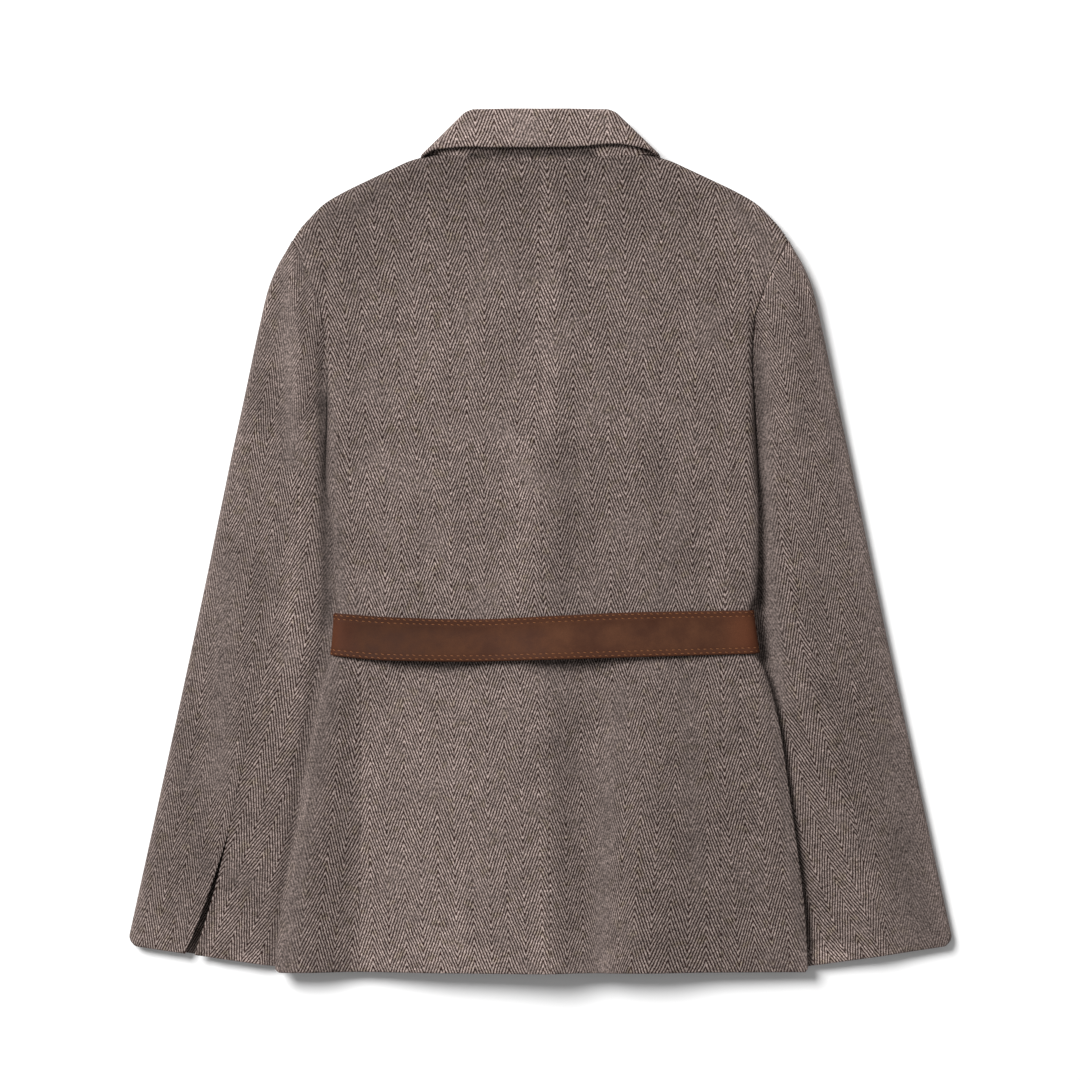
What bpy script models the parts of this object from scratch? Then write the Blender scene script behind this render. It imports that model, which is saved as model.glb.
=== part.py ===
"""A belted blazer coat of herringbone wool, laid out flat on its front.

Metres, +Z up. +Y points from the hem to the collar and +X to the wearer's right. The origin is on the
surface that the coat lies on, below the middle of its outline. Every piece is a closed wall: a surface worked
out from the sizes below, and the same points moved in by the cloth's thickness.
"""

from collections import namedtuple

import bpy
import numpy as np

# Driving sizes
HEM_Y = -0.3758
SHOULDER_X = 0.2160
SHOULDER_Y = 0.2610
UNDERARM_Y = 0.0600
SIDE_SEAM_TOP_Y = 0.1350
SIDE_PANEL_TOP_Y = 0.1060
NECK_X = 0.0835
CUFF_OUTER = (0.3560, -0.3505)
CUFF_INNER_Y = -0.3735
SLEEVE_HEAD_Y = 0.2560

# Thicknesses and gaps
CLOTH = 0.0020
COLLAR_CLOTH = 0.0026
LEATHER = 0.0024
SEAM_GAP = 0.0003
BELT_GAP = 0.0010

# Heights of the layers over the surface
BACK_EDGE_Z = 0.0225
BACK_CROWN = 0.0030
NECK_DROP = 0.0050
SHOULDER_MID_Z = 0.0100
COLLAR_TOP_Z = 0.0237
COLLAR_FLARE = 0.0020
LAYER_STEP = 0.0031

# Widths of the round edges, and the largest share of a panel or sleeve that one may take
SIDE_ROUND = 0.0080
SHOULDER_ROUND = 0.0160
NECK_FADE = 0.0220
SLEEVE_ROUND = 0.0090
COLLAR_ROLL = 0.0029
MOST_ROUND = 0.8
MOST_SLEEVE_ROUND = 0.3

# The side panel's reach under the body, and the stretch in which the body comes down past the sleeve
SIDE_FRONT_INSET = 0.0320
UNDERARM_STEP = 0.0006
INSET_POWER = 4
LIFT_FLAT = 0.0220
LIFT_RAMP = 0.0550

# The belt: its reach under the body, its dip into the cloth, and the column up to which it runs straight
BELT_UNDER = 0.0290
BELT_DIP = 0.0012
BELT_DIP_WIDTH = 0.0260
BELT_STRAIGHT = 0.5

# The fronts: the right one is outermost, so it lies lowest
OVERLAP_RAMP = 0.0180
OVERLAP_MARGIN = 0.0220
LAPEL_BOTTOM_Y = 0.1200
LAPEL_TOP_Y = 0.2820
LAPEL_RAMP = 0.0120
FRONT_NECK_DROP = 0.0085
COLLAR_CLEAR_X = 0.1200

# Colours, as linear red, green, blue
WOOL = (0.172, 0.133, 0.122)
WOOL_ROUGHNESS = 0.92
SUEDE = (0.094, 0.042, 0.026)
SUEDE_ROUGHNESS = 0.72

# The body's outline, which is also the armhole above the underarm
SideRow = namedtuple("SideRow", "y left right")
SIDE_LINE = [
    SideRow(-0.3758, 0.2310, 0.2327),
    SideRow(-0.3280, 0.2266, 0.2303),
    SideRow(-0.2600, 0.2146, 0.2222),
    SideRow(-0.2175, 0.2075, 0.2160),
    SideRow(-0.1670, 0.1988, 0.2088),
    SideRow(-0.1140, 0.1872, 0.1970),
    SideRow(-0.0820, 0.1795, 0.1872),
    SideRow(-0.0500, 0.1795, 0.1876),
    SideRow(0.0100, 0.1815, 0.1898),
    SideRow(0.0600, 0.1870, 0.1888),
    SideRow(0.1100, 0.1855, 0.1862),
    SideRow(0.1600, 0.1860, 0.1843),
    SideRow(0.1900, 0.1892, 0.1860),
    SideRow(0.2140, 0.1956, 0.1930),
    SideRow(0.2350, 0.2045, 0.2030),
    SideRow(0.2610, 0.2160, 0.2160),
]

# The seam between back and side panel, and the centre back seam, which wanders to the right
SeamRow = namedtuple("SeamRow", "y x")
SIDE_BACK_SEAM = [
    SeamRow(-0.3758, 0.1575),
    SeamRow(-0.2500, 0.1565),
    SeamRow(-0.1500, 0.1562),
    SeamRow(-0.0820, 0.1570),
    SeamRow(0.0000, 0.1630),
    SeamRow(0.0600, 0.1668),
    SeamRow(0.1350, 0.1700),
]
CENTRE_SEAM = [
    SeamRow(-0.3758, 0.0090),
    SeamRow(-0.2260, 0.0065),
    SeamRow(-0.1040, 0.0044),
    SeamRow(-0.0170, 0.0013),
    SeamRow(0.3294, -0.0009),
]

# The neck seam from the centre back to the neck point, and the shoulder from there to the sleeve
TopRow = namedtuple("TopRow", "x y")
TOP_LINE = [
    TopRow(0.0000, 0.3294),
    TopRow(0.0300, 0.3302),
    TopRow(0.0550, 0.3335),
    TopRow(0.0835, 0.3345),
    TopRow(0.0950, 0.3325),
    TopRow(0.1048, 0.3305),
    TopRow(0.1148, 0.3285),
    TopRow(0.1270, 0.3236),
    TopRow(0.1505, 0.3132),
    TopRow(0.1718, 0.3028),
    TopRow(0.1892, 0.2923),
    TopRow(0.1997, 0.2819),
    TopRow(0.2092, 0.2714),
    TopRow(0.2160, 0.2610),
]

# The height of the body's underside at its sides, and how far its top edge curls down there
EdgeRow = namedtuple("EdgeRow", "y lift curl")
EDGE = [
    EdgeRow(-0.3758, 0.0135, 0.0045),
    EdgeRow(0.0300, 0.0135, 0.0045),
    EdgeRow(0.0750, 0.0000, 0.0112),
    EdgeRow(0.1000, 0.0000, 0.0090),
    EdgeRow(0.1350, 0.0000, 0.0058),
    EdgeRow(0.1800, 0.0000, 0.0032),
    EdgeRow(0.2250, 0.0000, 0.0016),
    EdgeRow(0.2610, 0.0000, 0.0012),
]

# The sleeve: outer edge, how far it lies under the body, and its top's height at the outer and inner edge
SleeveRow = namedtuple("SleeveRow", "y outer under outer_z inner_z")
SLEEVE = [
    SleeveRow(-0.3735, 0.3607, 0.0150, 0.0105, 0.0085),
    SleeveRow(-0.2262, 0.3328, 0.0150, 0.0110, 0.0080),
    SleeveRow(-0.0300, 0.2906, 0.0140, 0.0118, 0.0075),
    SleeveRow(0.0250, 0.2794, 0.0040, 0.0122, 0.0085),
    SleeveRow(0.0450, 0.2752, -0.0008, 0.0124, 0.0090),
    SleeveRow(0.0600, 0.2722, -0.0008, 0.0125, 0.0115),
    SleeveRow(0.1218, 0.2588, -0.0008, 0.0140, 0.0152),
    SleeveRow(0.1870, 0.2449, -0.0006, 0.0160, 0.0185),
    SleeveRow(0.2192, 0.2371, -0.0006, 0.0170, 0.0188),
    SleeveRow(0.2401, 0.2284, -0.0006, 0.0175, 0.0182),
    SleeveRow(0.2540, 0.2202, -0.0006, 0.0165, 0.0166),
    SleeveRow(0.2610, 0.2162, -0.0006, 0.0150, 0.0150),
]
SLEEVE_CROWN = 0.0052
SLEEVE_CROWN_POWER = 1.5
SLEEVE_CROWN_FADE = 0.30
FOREARM_INSET = 0.0260
UNDERSLEEVE_TIP = 0.03

# The seam at the back of the sleeve, as a share of its width in from the outer edge
ElbowRow = namedtuple("ElbowRow", "row share")
ELBOW_SEAM = [
    ElbowRow(0.000, 1.000),
    ElbowRow(0.086, 1.000),
    ElbowRow(0.300, 0.740),
    ElbowRow(0.620, 0.500),
    ElbowRow(0.820, 0.470),
    ElbowRow(1.000, 0.365),
]

# The open cuff vent at the left sleeve's seam: where it starts, and its width at the cuff
VENT_TOP_ROW = 0.820
VENT_WIDTH = 0.0070

# The largest folds of the back: ridges have a height over 0 and troughs one under 0
FoldRow = namedtuple("FoldRow", "top_y top_x bottom_y bottom_x width height fade")
FOLDS = [
    FoldRow(0.1500, -0.0010, -0.3758, 0.0060, 0.0340, 0.0026, 0.1200),
    FoldRow(-0.1050, -0.1560, -0.3758, -0.1600, 0.0300, -0.0026, 0.0600),
    FoldRow(-0.1050, 0.0420, -0.3758, 0.0400, 0.0260, -0.0012, 0.0600),
    FoldRow(-0.1050, 0.0860, -0.3758, 0.0900, 0.0380, 0.0018, 0.0800),
    FoldRow(-0.1050, -0.0800, -0.3758, -0.0880, 0.0420, 0.0012, 0.0800),
]

# The front's inner edge for the right front: the overlap, then the neckline; and the lapel's width
NeckRow = namedtuple("NeckRow", "y x")
NECK_LINE = [
    NeckRow(-0.3758, -0.0200),
    NeckRow(0.0300, -0.0200),
    NeckRow(0.1000, 0.0050),
    NeckRow(0.2000, 0.0440),
    NeckRow(0.3000, 0.0830),
    NeckRow(0.3420, 0.0835),
]
LapelRow = namedtuple("LapelRow", "y width raised")
LAPEL = [
    LapelRow(0.1000, 0.0000, 0.0000),
    LapelRow(0.1200, 0.0080, 0.0450),
    LapelRow(0.1900, 0.0480, 0.0800),
    LapelRow(0.2500, 0.0740, 0.1040),
    LapelRow(0.2820, 0.0300, 0.0980),
    LapelRow(0.3000, 0.0260, 0.0700),
    LapelRow(0.3420, 0.0260, 0.0600),
]

# The collar from the centre back (0) round the neck side (1 to 2) to its end under the coat (3), and the
# part past which its free edge no longer stands off
CollarRow = namedtuple("CollarRow", "part free_x free_y roll_x roll_y stand")
COLLAR = [
    CollarRow(0.00, 0.0000, 0.3419, 0.0000, 0.3729, 0.0430),
    CollarRow(0.50, 0.0500, 0.3432, 0.0300, 0.3729, 0.0420),
    CollarRow(1.00, 0.0955, 0.3380, 0.0560, 0.3720, 0.0350),
    CollarRow(1.50, 0.1048, 0.3335, 0.0645, 0.3680, 0.0210),
    CollarRow(2.00, 0.1040, 0.3250, 0.0650, 0.3600, 0.0168),
    CollarRow(3.00, 0.1060, 0.2920, 0.0665, 0.3300, 0.0160),
]
COLLAR_FLARE_END = 1.5

# The belt's edges across the back
BeltRow = namedtuple("BeltRow", "x top bottom")
BELT = [
    BeltRow(-0.1790, -0.0635, -0.1006),
    BeltRow(-0.1292, -0.0670, -0.1044),
    BeltRow(-0.0605, -0.0687, -0.1053),
    BeltRow(0.0039, -0.0661, -0.1035),
    BeltRow(0.0840, -0.0626, -0.1014),
    BeltRow(0.1860, -0.0609, -0.0988),
]

# How finely the walls are divided
SHOULDER_ROW_POWER = 1.5
BODY_ROWS_BELOW = 19
BODY_ROWS_ABOVE = 9
SIDE_PANEL_ROWS_ABOVE = 3
BACK_COLUMNS = (0.0, 0.09, 0.19, 0.31, 0.43, 0.55, 0.67, 0.79, 0.90, 0.965, 0.99, 1.0)
SIDE_COLUMNS = (0.0, 0.33, 0.67, 1.0, 1.33, 1.67, 2.0, 2.33, 2.67, 3.0, 3.5, 4.0)
FRONT_COLUMNS = (0.0, 0.10, 0.21, 0.32, 0.43, 0.54, 0.65, 0.76, 0.88, 1.0)
SLEEVE_ROWS_ABOVE = 7
SLEEVE_ROWS_BELOW = 14
SLEEVE_COLUMNS = (0.0, 0.30, 0.60, 0.85, 1.0, 1.2, 1.4, 1.6, 1.8, 2.0, 2.15, 2.4, 2.7, 3.0)
COLLAR_FALL_ROWS = 5
COLLAR_ROLL_ROWS = 5
COLLAR_STAND_ROWS = 4
COLLAR_COLUMNS = (0.0, 0.17, 0.34, 0.51, 0.68, 0.85, 1.0, 1.2, 1.4, 1.6, 1.8, 2.0, 2.5, 3.0)
BELT_ROWS = 4
BELT_BACK_COLUMNS = (0.0, 0.11, 0.22, 0.33, 0.44, 0.55, 0.66, 0.77, 0.88, 1.0)
BELT_EDGE_COLUMNS = (1.33, 1.67, 2.0, 2.33, 2.67, 3.0, 4.0)
LAPEL_ROWS = 7
LAPEL_COLUMNS = 3
SHARP_ANGLE = np.radians(50)

# Small amounts, and the coat's two sides
TINY = 1e-6
NO_LENGTH = 1e-18
STEP = 1e-4
LEFT, RIGHT = -1, 1


def curve(rows, across, column):
    """A smooth line through one column of a table, with no overshoot, going on straight past its ends."""
    x = np.array([getattr(row, across) for row in rows])
    y = np.array([getattr(row, column) for row in rows])
    length = np.diff(x)
    rise = np.diff(y) / length
    slope = np.zeros(len(x))
    slope[0], slope[-1] = rise[0], rise[-1]
    before, after = 2 * length[1:] + length[:-1], length[1:] + 2 * length[:-1]
    steady = rise[:-1] * rise[1:] > 0
    with np.errstate(divide="ignore", invalid="ignore"):
        mean = (before + after) / (before / rise[:-1] + after / rise[1:])
    slope[1:-1] = np.where(steady, mean, 0.0)

    def value(at):
        at = np.asarray(at, float)
        i = np.clip(np.searchsorted(x, at) - 1, 0, len(length) - 1)
        share = (at - x[i]) / length[i]
        t = np.clip(share, 0.0, 1.0)
        inside = (
            (1 + 2 * t) * (1 - t) ** 2 * y[i]
            + t * (1 - t) ** 2 * length[i] * slope[i]
            + t * t * (3 - 2 * t) * y[i + 1]
            + t * t * (t - 1) * length[i] * slope[i + 1]
        )
        past = np.where(share > 1, slope[i + 1], slope[i])
        return inside + past * (share - t) * length[i]

    return value


def mix(a, b, share):
    return a + (b - a) * share


def ease(share):
    """0 to 1 with level ends."""
    t = np.clip(share, 0.0, 1.0)
    return t * t * (3 - 2 * t)


def arc(share):
    """The height share of a quarter-round edge at a share of its width in from the edge."""
    t = np.clip(share, 0.0, 1.0)
    return np.sqrt(1 - (1 - t) ** 2)


def fold_in(length, width):
    """How far in from a folded edge a length of cloth reaches, and its height share: under 0 is below."""
    size = np.abs(length)
    angle = np.clip(size / np.maximum(width, TINY), 0.0, np.pi / 2)
    flat = np.maximum(size - width * np.pi / 2, 0.0)
    return width * (1 - np.cos(angle)) + flat, np.sign(length) * np.sin(angle)


def fold_length(reach, width):
    """The length of cloth from a folded edge to a distance in from it."""
    round_part = width * np.arccos(np.clip(1 - reach / np.maximum(width, TINY), -1.0, 1.0))
    return np.where(reach < width, round_part, reach - width + width * np.pi / 2)


def ring_length(column, above, below):
    """The length of cloth in from the side edge: 0 to 1 on the back, to 3 round the edge, to 4 below."""
    quarter = np.minimum(SIDE_ROUND * np.pi / 2, above * MOST_ROUND)
    on_back = mix(above, quarter, np.minimum(column, 1.0))
    on_edge = quarter * (2 - np.clip(column, 1.0, 3.0))
    under = -mix(quarter, below, column - 3)
    return np.where(column < 1, on_back, np.where(column > 3, under, on_edge))


side_lines = {LEFT: curve(SIDE_LINE, "y", "left"), RIGHT: curve(SIDE_LINE, "y", "right")}
side_back_seam = curve(SIDE_BACK_SEAM, "y", "x")
centre_seam = curve(CENTRE_SEAM, "y", "x")
top_line = curve(TOP_LINE, "x", "y")
edge_lift = curve(EDGE, "y", "lift")
edge_curl = curve(EDGE, "y", "curl")
sleeve_outer = curve(SLEEVE, "y", "outer")
sleeve_under = curve(SLEEVE, "y", "under")
sleeve_outer_z = curve(SLEEVE, "y", "outer_z")
sleeve_inner_z = curve(SLEEVE, "y", "inner_z")
elbow_seam = curve(ELBOW_SEAM, "row", "share")
neck_line = curve(NECK_LINE, "y", "x")
lapel_width = curve(LAPEL, "y", "width")
lapel_raised = curve(LAPEL, "y", "raised")
belt_top = curve(BELT, "x", "top")
belt_bottom = curve(BELT, "x", "bottom")
collar_lines = {name: curve(COLLAR, "part", name) for name in CollarRow._fields[1:]}


def back_line(side, y):
    """The back panel's outer edge: the side seam, then the armhole."""
    at_armhole = np.clip((y - UNDERARM_Y) / (SIDE_SEAM_TOP_Y - UNDERARM_Y), 0.0, 1.0)
    return mix(side_back_seam(y), side_lines[side](y) - SEAM_GAP, at_armhole)


def fold_height(x, y):
    """The largest folds of the back."""
    height = np.zeros(np.broadcast(x, y).shape)
    for fold in FOLDS:
        down = (fold.top_y - y) / (fold.top_y - fold.bottom_y)
        middle = mix(fold.top_x, fold.bottom_x, down)
        strength = ease((fold.top_y - y) / fold.fade)
        height = height + fold.height * strength * np.exp(-(((x - middle) / fold.width) ** 2))
    return height


def back_height(side, x, y):
    """The top of the back, before its edges round off."""
    across = np.clip(np.abs(x) / side_lines[side](y), 0.0, 1.0)
    to_neck = ease((y - SIDE_SEAM_TOP_Y) / (TOP_LINE[0].y - SIDE_SEAM_TOP_Y))
    belt_y = (belt_top(x) + belt_bottom(x)) / 2
    dip = BELT_DIP * np.exp(-(((y - belt_y) / BELT_DIP_WIDTH) ** 2))
    return BACK_EDGE_Z + BACK_CROWN * (1 - across**2) - NECK_DROP * to_neck + fold_height(x, y) - dip


def front_height(side, x, y):
    """The underside of the fronts, before their edges round off."""
    from_edge = side_lines[side](y) - np.abs(x)
    beside_sleeve = edge_lift(y) * (1 - ease((from_edge - LIFT_FLAT) / LIFT_RAMP))
    from_neckline = side * x - neck_line(y)
    over_lapel = LAYER_STEP * ease((lapel_raised(y) - from_neckline) / LAPEL_RAMP)
    over_lapel = over_lapel * (y > LAPEL[0].y)
    over_right = 0.0
    if side == LEFT:
        over_right = LAYER_STEP * ease((x - neck_line(y) + OVERLAP_MARGIN) / OVERLAP_RAMP)
    return np.maximum(np.maximum(beside_sleeve, over_lapel), over_right)


def edge_height(side, y):
    """The height of the body's outermost edge."""
    return back_height(side, side * side_lines[side](y), y) - edge_curl(y)


def body_ring(side, length, y):
    """The body's surface at a length of cloth in from its side edge: over 0 on the back, under 0 below."""
    inward, turn = fold_in(length, SIDE_ROUND)
    x = side * (side_lines[side](y) - inward)
    edge = edge_height(side, y)
    above = mix(edge, back_height(side, x, y), turn)
    below = mix(edge, front_height(side, x, y), -turn)
    return np.stack(np.broadcast_arrays(x, y, np.where(length >= 0, above, below)), axis=-1)


def shoulder_row(row, share, first_x):
    """The shoulder's place over a column, and a row's distance and turn below it."""
    top_x = mix(first_x, SHOULDER_X, share)
    fade = ease((top_x - NECK_X) / NECK_FADE)
    width = SHOULDER_ROUND * fade + TINY
    full = fold_length(top_line(top_x) - HEM_Y, width)
    below, turn = fold_in(mix(full, SEAM_GAP, row), width)
    return top_line(top_x) - below, turn, fade


def back_surface(side):
    """Rows go from the hem to the neck and shoulder, columns from the centre seam outward."""

    def surface(row, column):
        y, turn, fade = shoulder_row(row, column, 0.0)
        outer_y, _, _ = shoulder_row(row, np.ones_like(column), 0.0)
        inner_x = centre_seam(y) + side * SEAM_GAP / 2
        x = mix(inner_x, side * back_line(side, outer_y), column)
        edge = edge_height(side, y)
        from_edge = side_lines[side](y) - np.abs(x)
        z = mix(edge, back_height(side, x, y), arc(from_edge / SIDE_ROUND))
        ridge = mix(z, SHOULDER_MID_Z, fade)
        return np.stack([x, y, mix(ridge, z, turn)], axis=-1)

    return surface


def front_surface(side):
    """Rows go from the hem to the shoulder, columns from the front edge outward."""

    def surface(row, column):
        y, turn, fade = shoulder_row(row, column, NECK_X)
        y = y - FRONT_NECK_DROP * ease((COLLAR_CLEAR_X - mix(NECK_X, SHOULDER_X, column)) / NECK_FADE) * row
        outer_y, _, _ = shoulder_row(row, np.ones_like(column), NECK_X)
        inset = SIDE_FRONT_INSET * (1 - ease((outer_y - UNDERARM_Y) / UNDERARM_STEP))
        outer_x = side_lines[side](outer_y) - SEAM_GAP
        x = side * (mix(neck_line(y), outer_x, column) - inset * column**INSET_POWER)
        z = front_height(side, x, y)
        ridge = mix(z, SHOULDER_MID_Z, fade)
        return np.stack([x, y, mix(ridge, z, turn)], axis=-1)

    return surface


def side_surface(side):
    """Rows are heights from the hem up; columns go from the back seam (0) round to the front seam (4)."""

    def surface(y, column):
        above = fold_length(side_lines[side](y) - back_line(side, y) - SEAM_GAP, SIDE_ROUND)
        below = fold_length(SIDE_FRONT_INSET, SIDE_ROUND)
        return body_ring(side, ring_length(column, above, below), y)

    return surface


def sleeve_line(side, row):
    """The outer and inner end of one straight line across the sleeve."""
    outer_y = mix(SLEEVE_HEAD_Y, CUFF_OUTER[1], row)
    inner_y = mix(SLEEVE_HEAD_Y, CUFF_INNER_Y, row)
    inner_x = side_lines[side](inner_y) - sleeve_under(inner_y)
    return sleeve_outer(outer_y), outer_y, inner_x, inner_y


def sleeve_point(side, row, share, turn):
    """A point of the sleeve at a share of its width in from the outer edge; turn is 1 on top, -1 below."""
    outer_x, outer_y, inner_x, inner_y = sleeve_line(side, row)
    arch = np.abs(4 * share * (1 - share)) ** SLEEVE_CROWN_POWER
    crown = SLEEVE_CROWN * ease(row / SLEEVE_CROWN_FADE) * arch
    top = mix(sleeve_outer_z(outer_y), sleeve_inner_z(inner_y), share) + crown
    x = side * mix(outer_x, inner_x, share)
    return np.stack([x, mix(outer_y, inner_y, share), top * (1 + turn) / 2], axis=-1)


def sleeve_width(side, row):
    outer_x, outer_y, inner_x, inner_y = sleeve_line(side, row)
    return np.hypot(outer_x - inner_x, outer_y - inner_y)


def vent_gap(side, row):
    """Half the gap at the elbow seam, which opens into the vent on the left sleeve."""
    opening = VENT_WIDTH * np.clip((row - VENT_TOP_ROW) / (1 - VENT_TOP_ROW), 0.0, 1.0)
    return (SEAM_GAP + opening * (side == LEFT)) / 2


def past_underarm(row):
    """1 on the rows below the underarm, where the sleeve is a whole tube."""
    return np.where(mix(SLEEVE_HEAD_Y, CUFF_INNER_Y, row) < UNDERARM_Y, 1.0, 0.0)


def topsleeve_surface(side):
    """Columns go from the elbow seam to the outer edge (1), round it (2) and below to the front seam (3)."""

    def surface(row, column):
        width = sleeve_width(side, row)
        round_share = np.minimum(SLEEVE_ROUND / width, MOST_SLEEVE_ROUND)
        seam = elbow_seam(row) - vent_gap(side, row) / width
        front_seam = 1 - mix(SEAM_GAP, FOREARM_INSET, past_underarm(row)) / width
        angle = np.pi * np.clip(column - 1, 0.0, 1.0)
        above = mix(seam, round_share, column)
        below = mix(round_share, front_seam, column - 2)
        share = np.where(column < 1, above, np.where(column > 2, below, round_share * (1 - np.sin(angle))))
        return sleeve_point(side, row, share, np.cos(angle))

    return surface


def undersleeve_surface(side):
    """Columns go from the elbow seam to the inner edge (1), round it (2) and below to the front seam (3)."""

    def surface(row, column):
        width = sleeve_width(side, row)
        round_share = past_underarm(row) * SLEEVE_ROUND / width
        seam = elbow_seam(row) + vent_gap(side, row) / width
        front_seam = (FOREARM_INSET - SEAM_GAP) / width
        angle = np.pi * np.clip(column - 1, 0.0, 1.0)
        above = mix(1 - seam, round_share, column)
        below = mix(round_share, front_seam, column - 2)
        inward = np.where(column < 1, above, np.where(column > 2, below, round_share * (1 - np.sin(angle))))
        return sleeve_point(side, row, 1 - inward, np.cos(angle))

    return surface


def unit(vectors):
    return vectors / np.maximum(np.linalg.norm(vectors, axis=-1, keepdims=True), NO_LENGTH)


def collar_surface(row, column):
    """Rows: 0 free edge, 1 to 2 the roll, 3 neck seam. Columns: 0 centre back, 3 and -3 the ends below."""
    side = np.sign(column)
    part = np.abs(column)
    line = {name: value(part) for name, value in collar_lines.items()}
    angle = np.pi * np.clip(part - 1, 0.0, 1.0)
    level = COLLAR_TOP_Z * (1 + np.cos(angle)) / 2
    free = np.stack([side * line["free_x"], line["free_y"], level], axis=-1)
    roll = np.stack([side * line["roll_x"], line["roll_y"], level], axis=-1)
    up = unit(roll - free)
    outward = np.stack([side * up[..., 1], -side * up[..., 0], np.zeros_like(level)], axis=-1)
    above = np.array([0.0, 0.0, 1.0])
    inward = -np.sin(angle)[..., None] * outward - np.cos(angle)[..., None] * above
    fall = np.clip(row, None, 1.0)
    flare = COLLAR_FLARE * (1 - fall) * ease(COLLAR_FLARE_END - part)
    points = mix(free, roll, fall[..., None]) + flare[..., None] * above
    bend = np.pi * np.clip(row - 1, 0.0, 1.0)
    points = points + (COLLAR_ROLL * (1 - np.cos(bend)))[..., None] * inward
    points = points + (COLLAR_ROLL * np.sin(bend))[..., None] * up
    stand = np.clip(row - 2, 0.0, None) * line["stand"]
    return points - stand[..., None] * up


def under_belt(side):
    """The body's points under half of the belt. Columns: 0 centre back, 2 the side edge, 4 the end below."""
    belt_y = (belt_top(0.0) + belt_bottom(0.0)) / 2
    edge_x = side_lines[side](belt_y)
    whole = fold_length(edge_x, SIDE_ROUND)
    end = fold_length(BELT_UNDER, SIDE_ROUND)

    def surface(row, column):
        length = ring_length(column, whole, end)
        x = side * np.maximum(edge_x - fold_in(length, SIDE_ROUND)[0], 0.0)
        y = mix(belt_bottom(x), belt_top(x), row)
        points = body_ring(side, length, y)
        straight = 1 - np.clip(column / BELT_STRAIGHT, 0.0, 1.0)
        points[..., 0] -= side * (side_lines[side](y) - edge_x) * straight
        return points

    return surface


def belt_surface(row, column):
    """The body's points under the belt, moved out; columns over 0 are the right half."""
    halves = {}
    for side in (LEFT, RIGHT):
        below = under_belt(side)
        part = np.abs(column)
        normal = -side * surface_normal(below, row, part)
        halves[side] = below(row, part) + normal * (BELT_GAP + LEATHER)
    return np.where((column < 0)[..., None], halves[LEFT], halves[RIGHT])


def lapel_surface(side):
    """A flat lapel on the surface, from its roll line outward."""

    def surface(row, column):
        y = mix(LAPEL_BOTTOM_Y, LAPEL_TOP_Y, row)
        x = neck_line(y) + SEAM_GAP + lapel_width(y) * column
        return np.stack([side * x, y, np.zeros_like(y)], axis=-1)

    return surface


def surface_normal(surface, row, column):
    along_row = surface(row + STEP, column) - surface(row - STEP, column)
    along_column = surface(row, column + STEP) - surface(row, column - STEP)
    return unit(np.cross(along_row, along_column))


def paint(name, colour, roughness):
    material = bpy.data.materials.new(name)
    material.use_nodes = True
    shader = material.node_tree.nodes["Principled BSDF"]
    shader.inputs["Base Color"].default_value = (*colour, 1.0)
    shader.inputs["Roughness"].default_value = roughness
    shader.inputs["Metallic"].default_value = 0.0
    return material


def wall(name, surface, rows, columns, thickness, facing, keep=None, colour=WOOL, roughness=WOOL_ROUGHNESS):
    """A closed wall over a grid of rows and columns; keep says which of the grid's cells it has.

    The surface is the wall's outer face: facing is 1 where the cross product of the ways along rows and
    columns points out of it, and -1 where that points in.
    """
    row, column = np.meshgrid(np.asarray(rows, float), np.asarray(columns, float), indexing="ij")
    outer = surface(row, column)
    inner = outer - facing * thickness * surface_normal(surface, row, column)
    count = row.size
    number = np.arange(count).reshape(row.shape)
    kept = np.ones((len(rows) - 1, len(columns) - 1), bool) if keep is None else keep
    faces, edges = [], set()
    for i, j in zip(*np.nonzero(kept)):
        corners = [number[i, j], number[i + 1, j], number[i + 1, j + 1], number[i, j + 1]]
        if facing < 0:
            corners.reverse()
        faces.append(corners)
        faces.append([corner + count for corner in reversed(corners)])
        edges.update(zip(corners, corners[1:] + corners[:1]))
    for a, b in sorted(edges):
        if (b, a) not in edges:
            faces.append([b, a, a + count, b + count])
    used = sorted({corner for face in faces for corner in face})
    place = {corner: i for i, corner in enumerate(used)}
    points = np.concatenate([outer.reshape(-1, 3), inner.reshape(-1, 3)])[used]
    mesh = bpy.data.meshes.new(name)
    mesh.from_pydata(points.tolist(), [], [[place[corner] for corner in face] for face in faces])
    mesh.shade_smooth()
    mesh.set_sharp_from_angle(angle=SHARP_ANGLE)
    mesh.materials.append(paint(name, colour, roughness))
    bpy.context.scene.collection.objects.link(bpy.data.objects.new(name, mesh))


def middles(values):
    values = np.asarray(values, float)
    return (values[1:] + values[:-1]) / 2


def both_ways(columns):
    """Columns from the centre outward, and the same to the left."""
    return [-column for column in reversed(columns[1:])] + list(columns)


def shoulder_share(y):
    """The row of a front or back whose outer end is at a height."""
    full = fold_length(SHOULDER_Y - HEM_Y, SHOULDER_ROUND)
    return 1 - fold_length(SHOULDER_Y - y, SHOULDER_ROUND) / full


def heights_below():
    return np.linspace(HEM_Y, UNDERARM_Y, BODY_ROWS_BELOW)


def heights_above():
    """Heights over the underarm: through the side panel's top, then closer together toward the shoulder."""
    first = np.linspace(UNDERARM_Y, SIDE_PANEL_TOP_Y, SIDE_PANEL_ROWS_ABOVE + 1)[1:]
    rest = mix(SHOULDER_Y, SIDE_SEAM_TOP_Y, np.linspace(1, 0, BODY_ROWS_ABOVE) ** SHOULDER_ROW_POWER)
    return np.concatenate([first, rest])


def back(side, name):
    rows = shoulder_share(np.concatenate([heights_below(), heights_above()]))
    wall(name, back_surface(side), rows, BACK_COLUMNS, CLOTH, -side)


def front(side, name):
    step = UNDERARM_Y + UNDERARM_STEP
    rows = shoulder_share(np.concatenate([heights_below(), [step], heights_above()]))
    wall(name, front_surface(side), rows, FRONT_COLUMNS, CLOTH, side)


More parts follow.
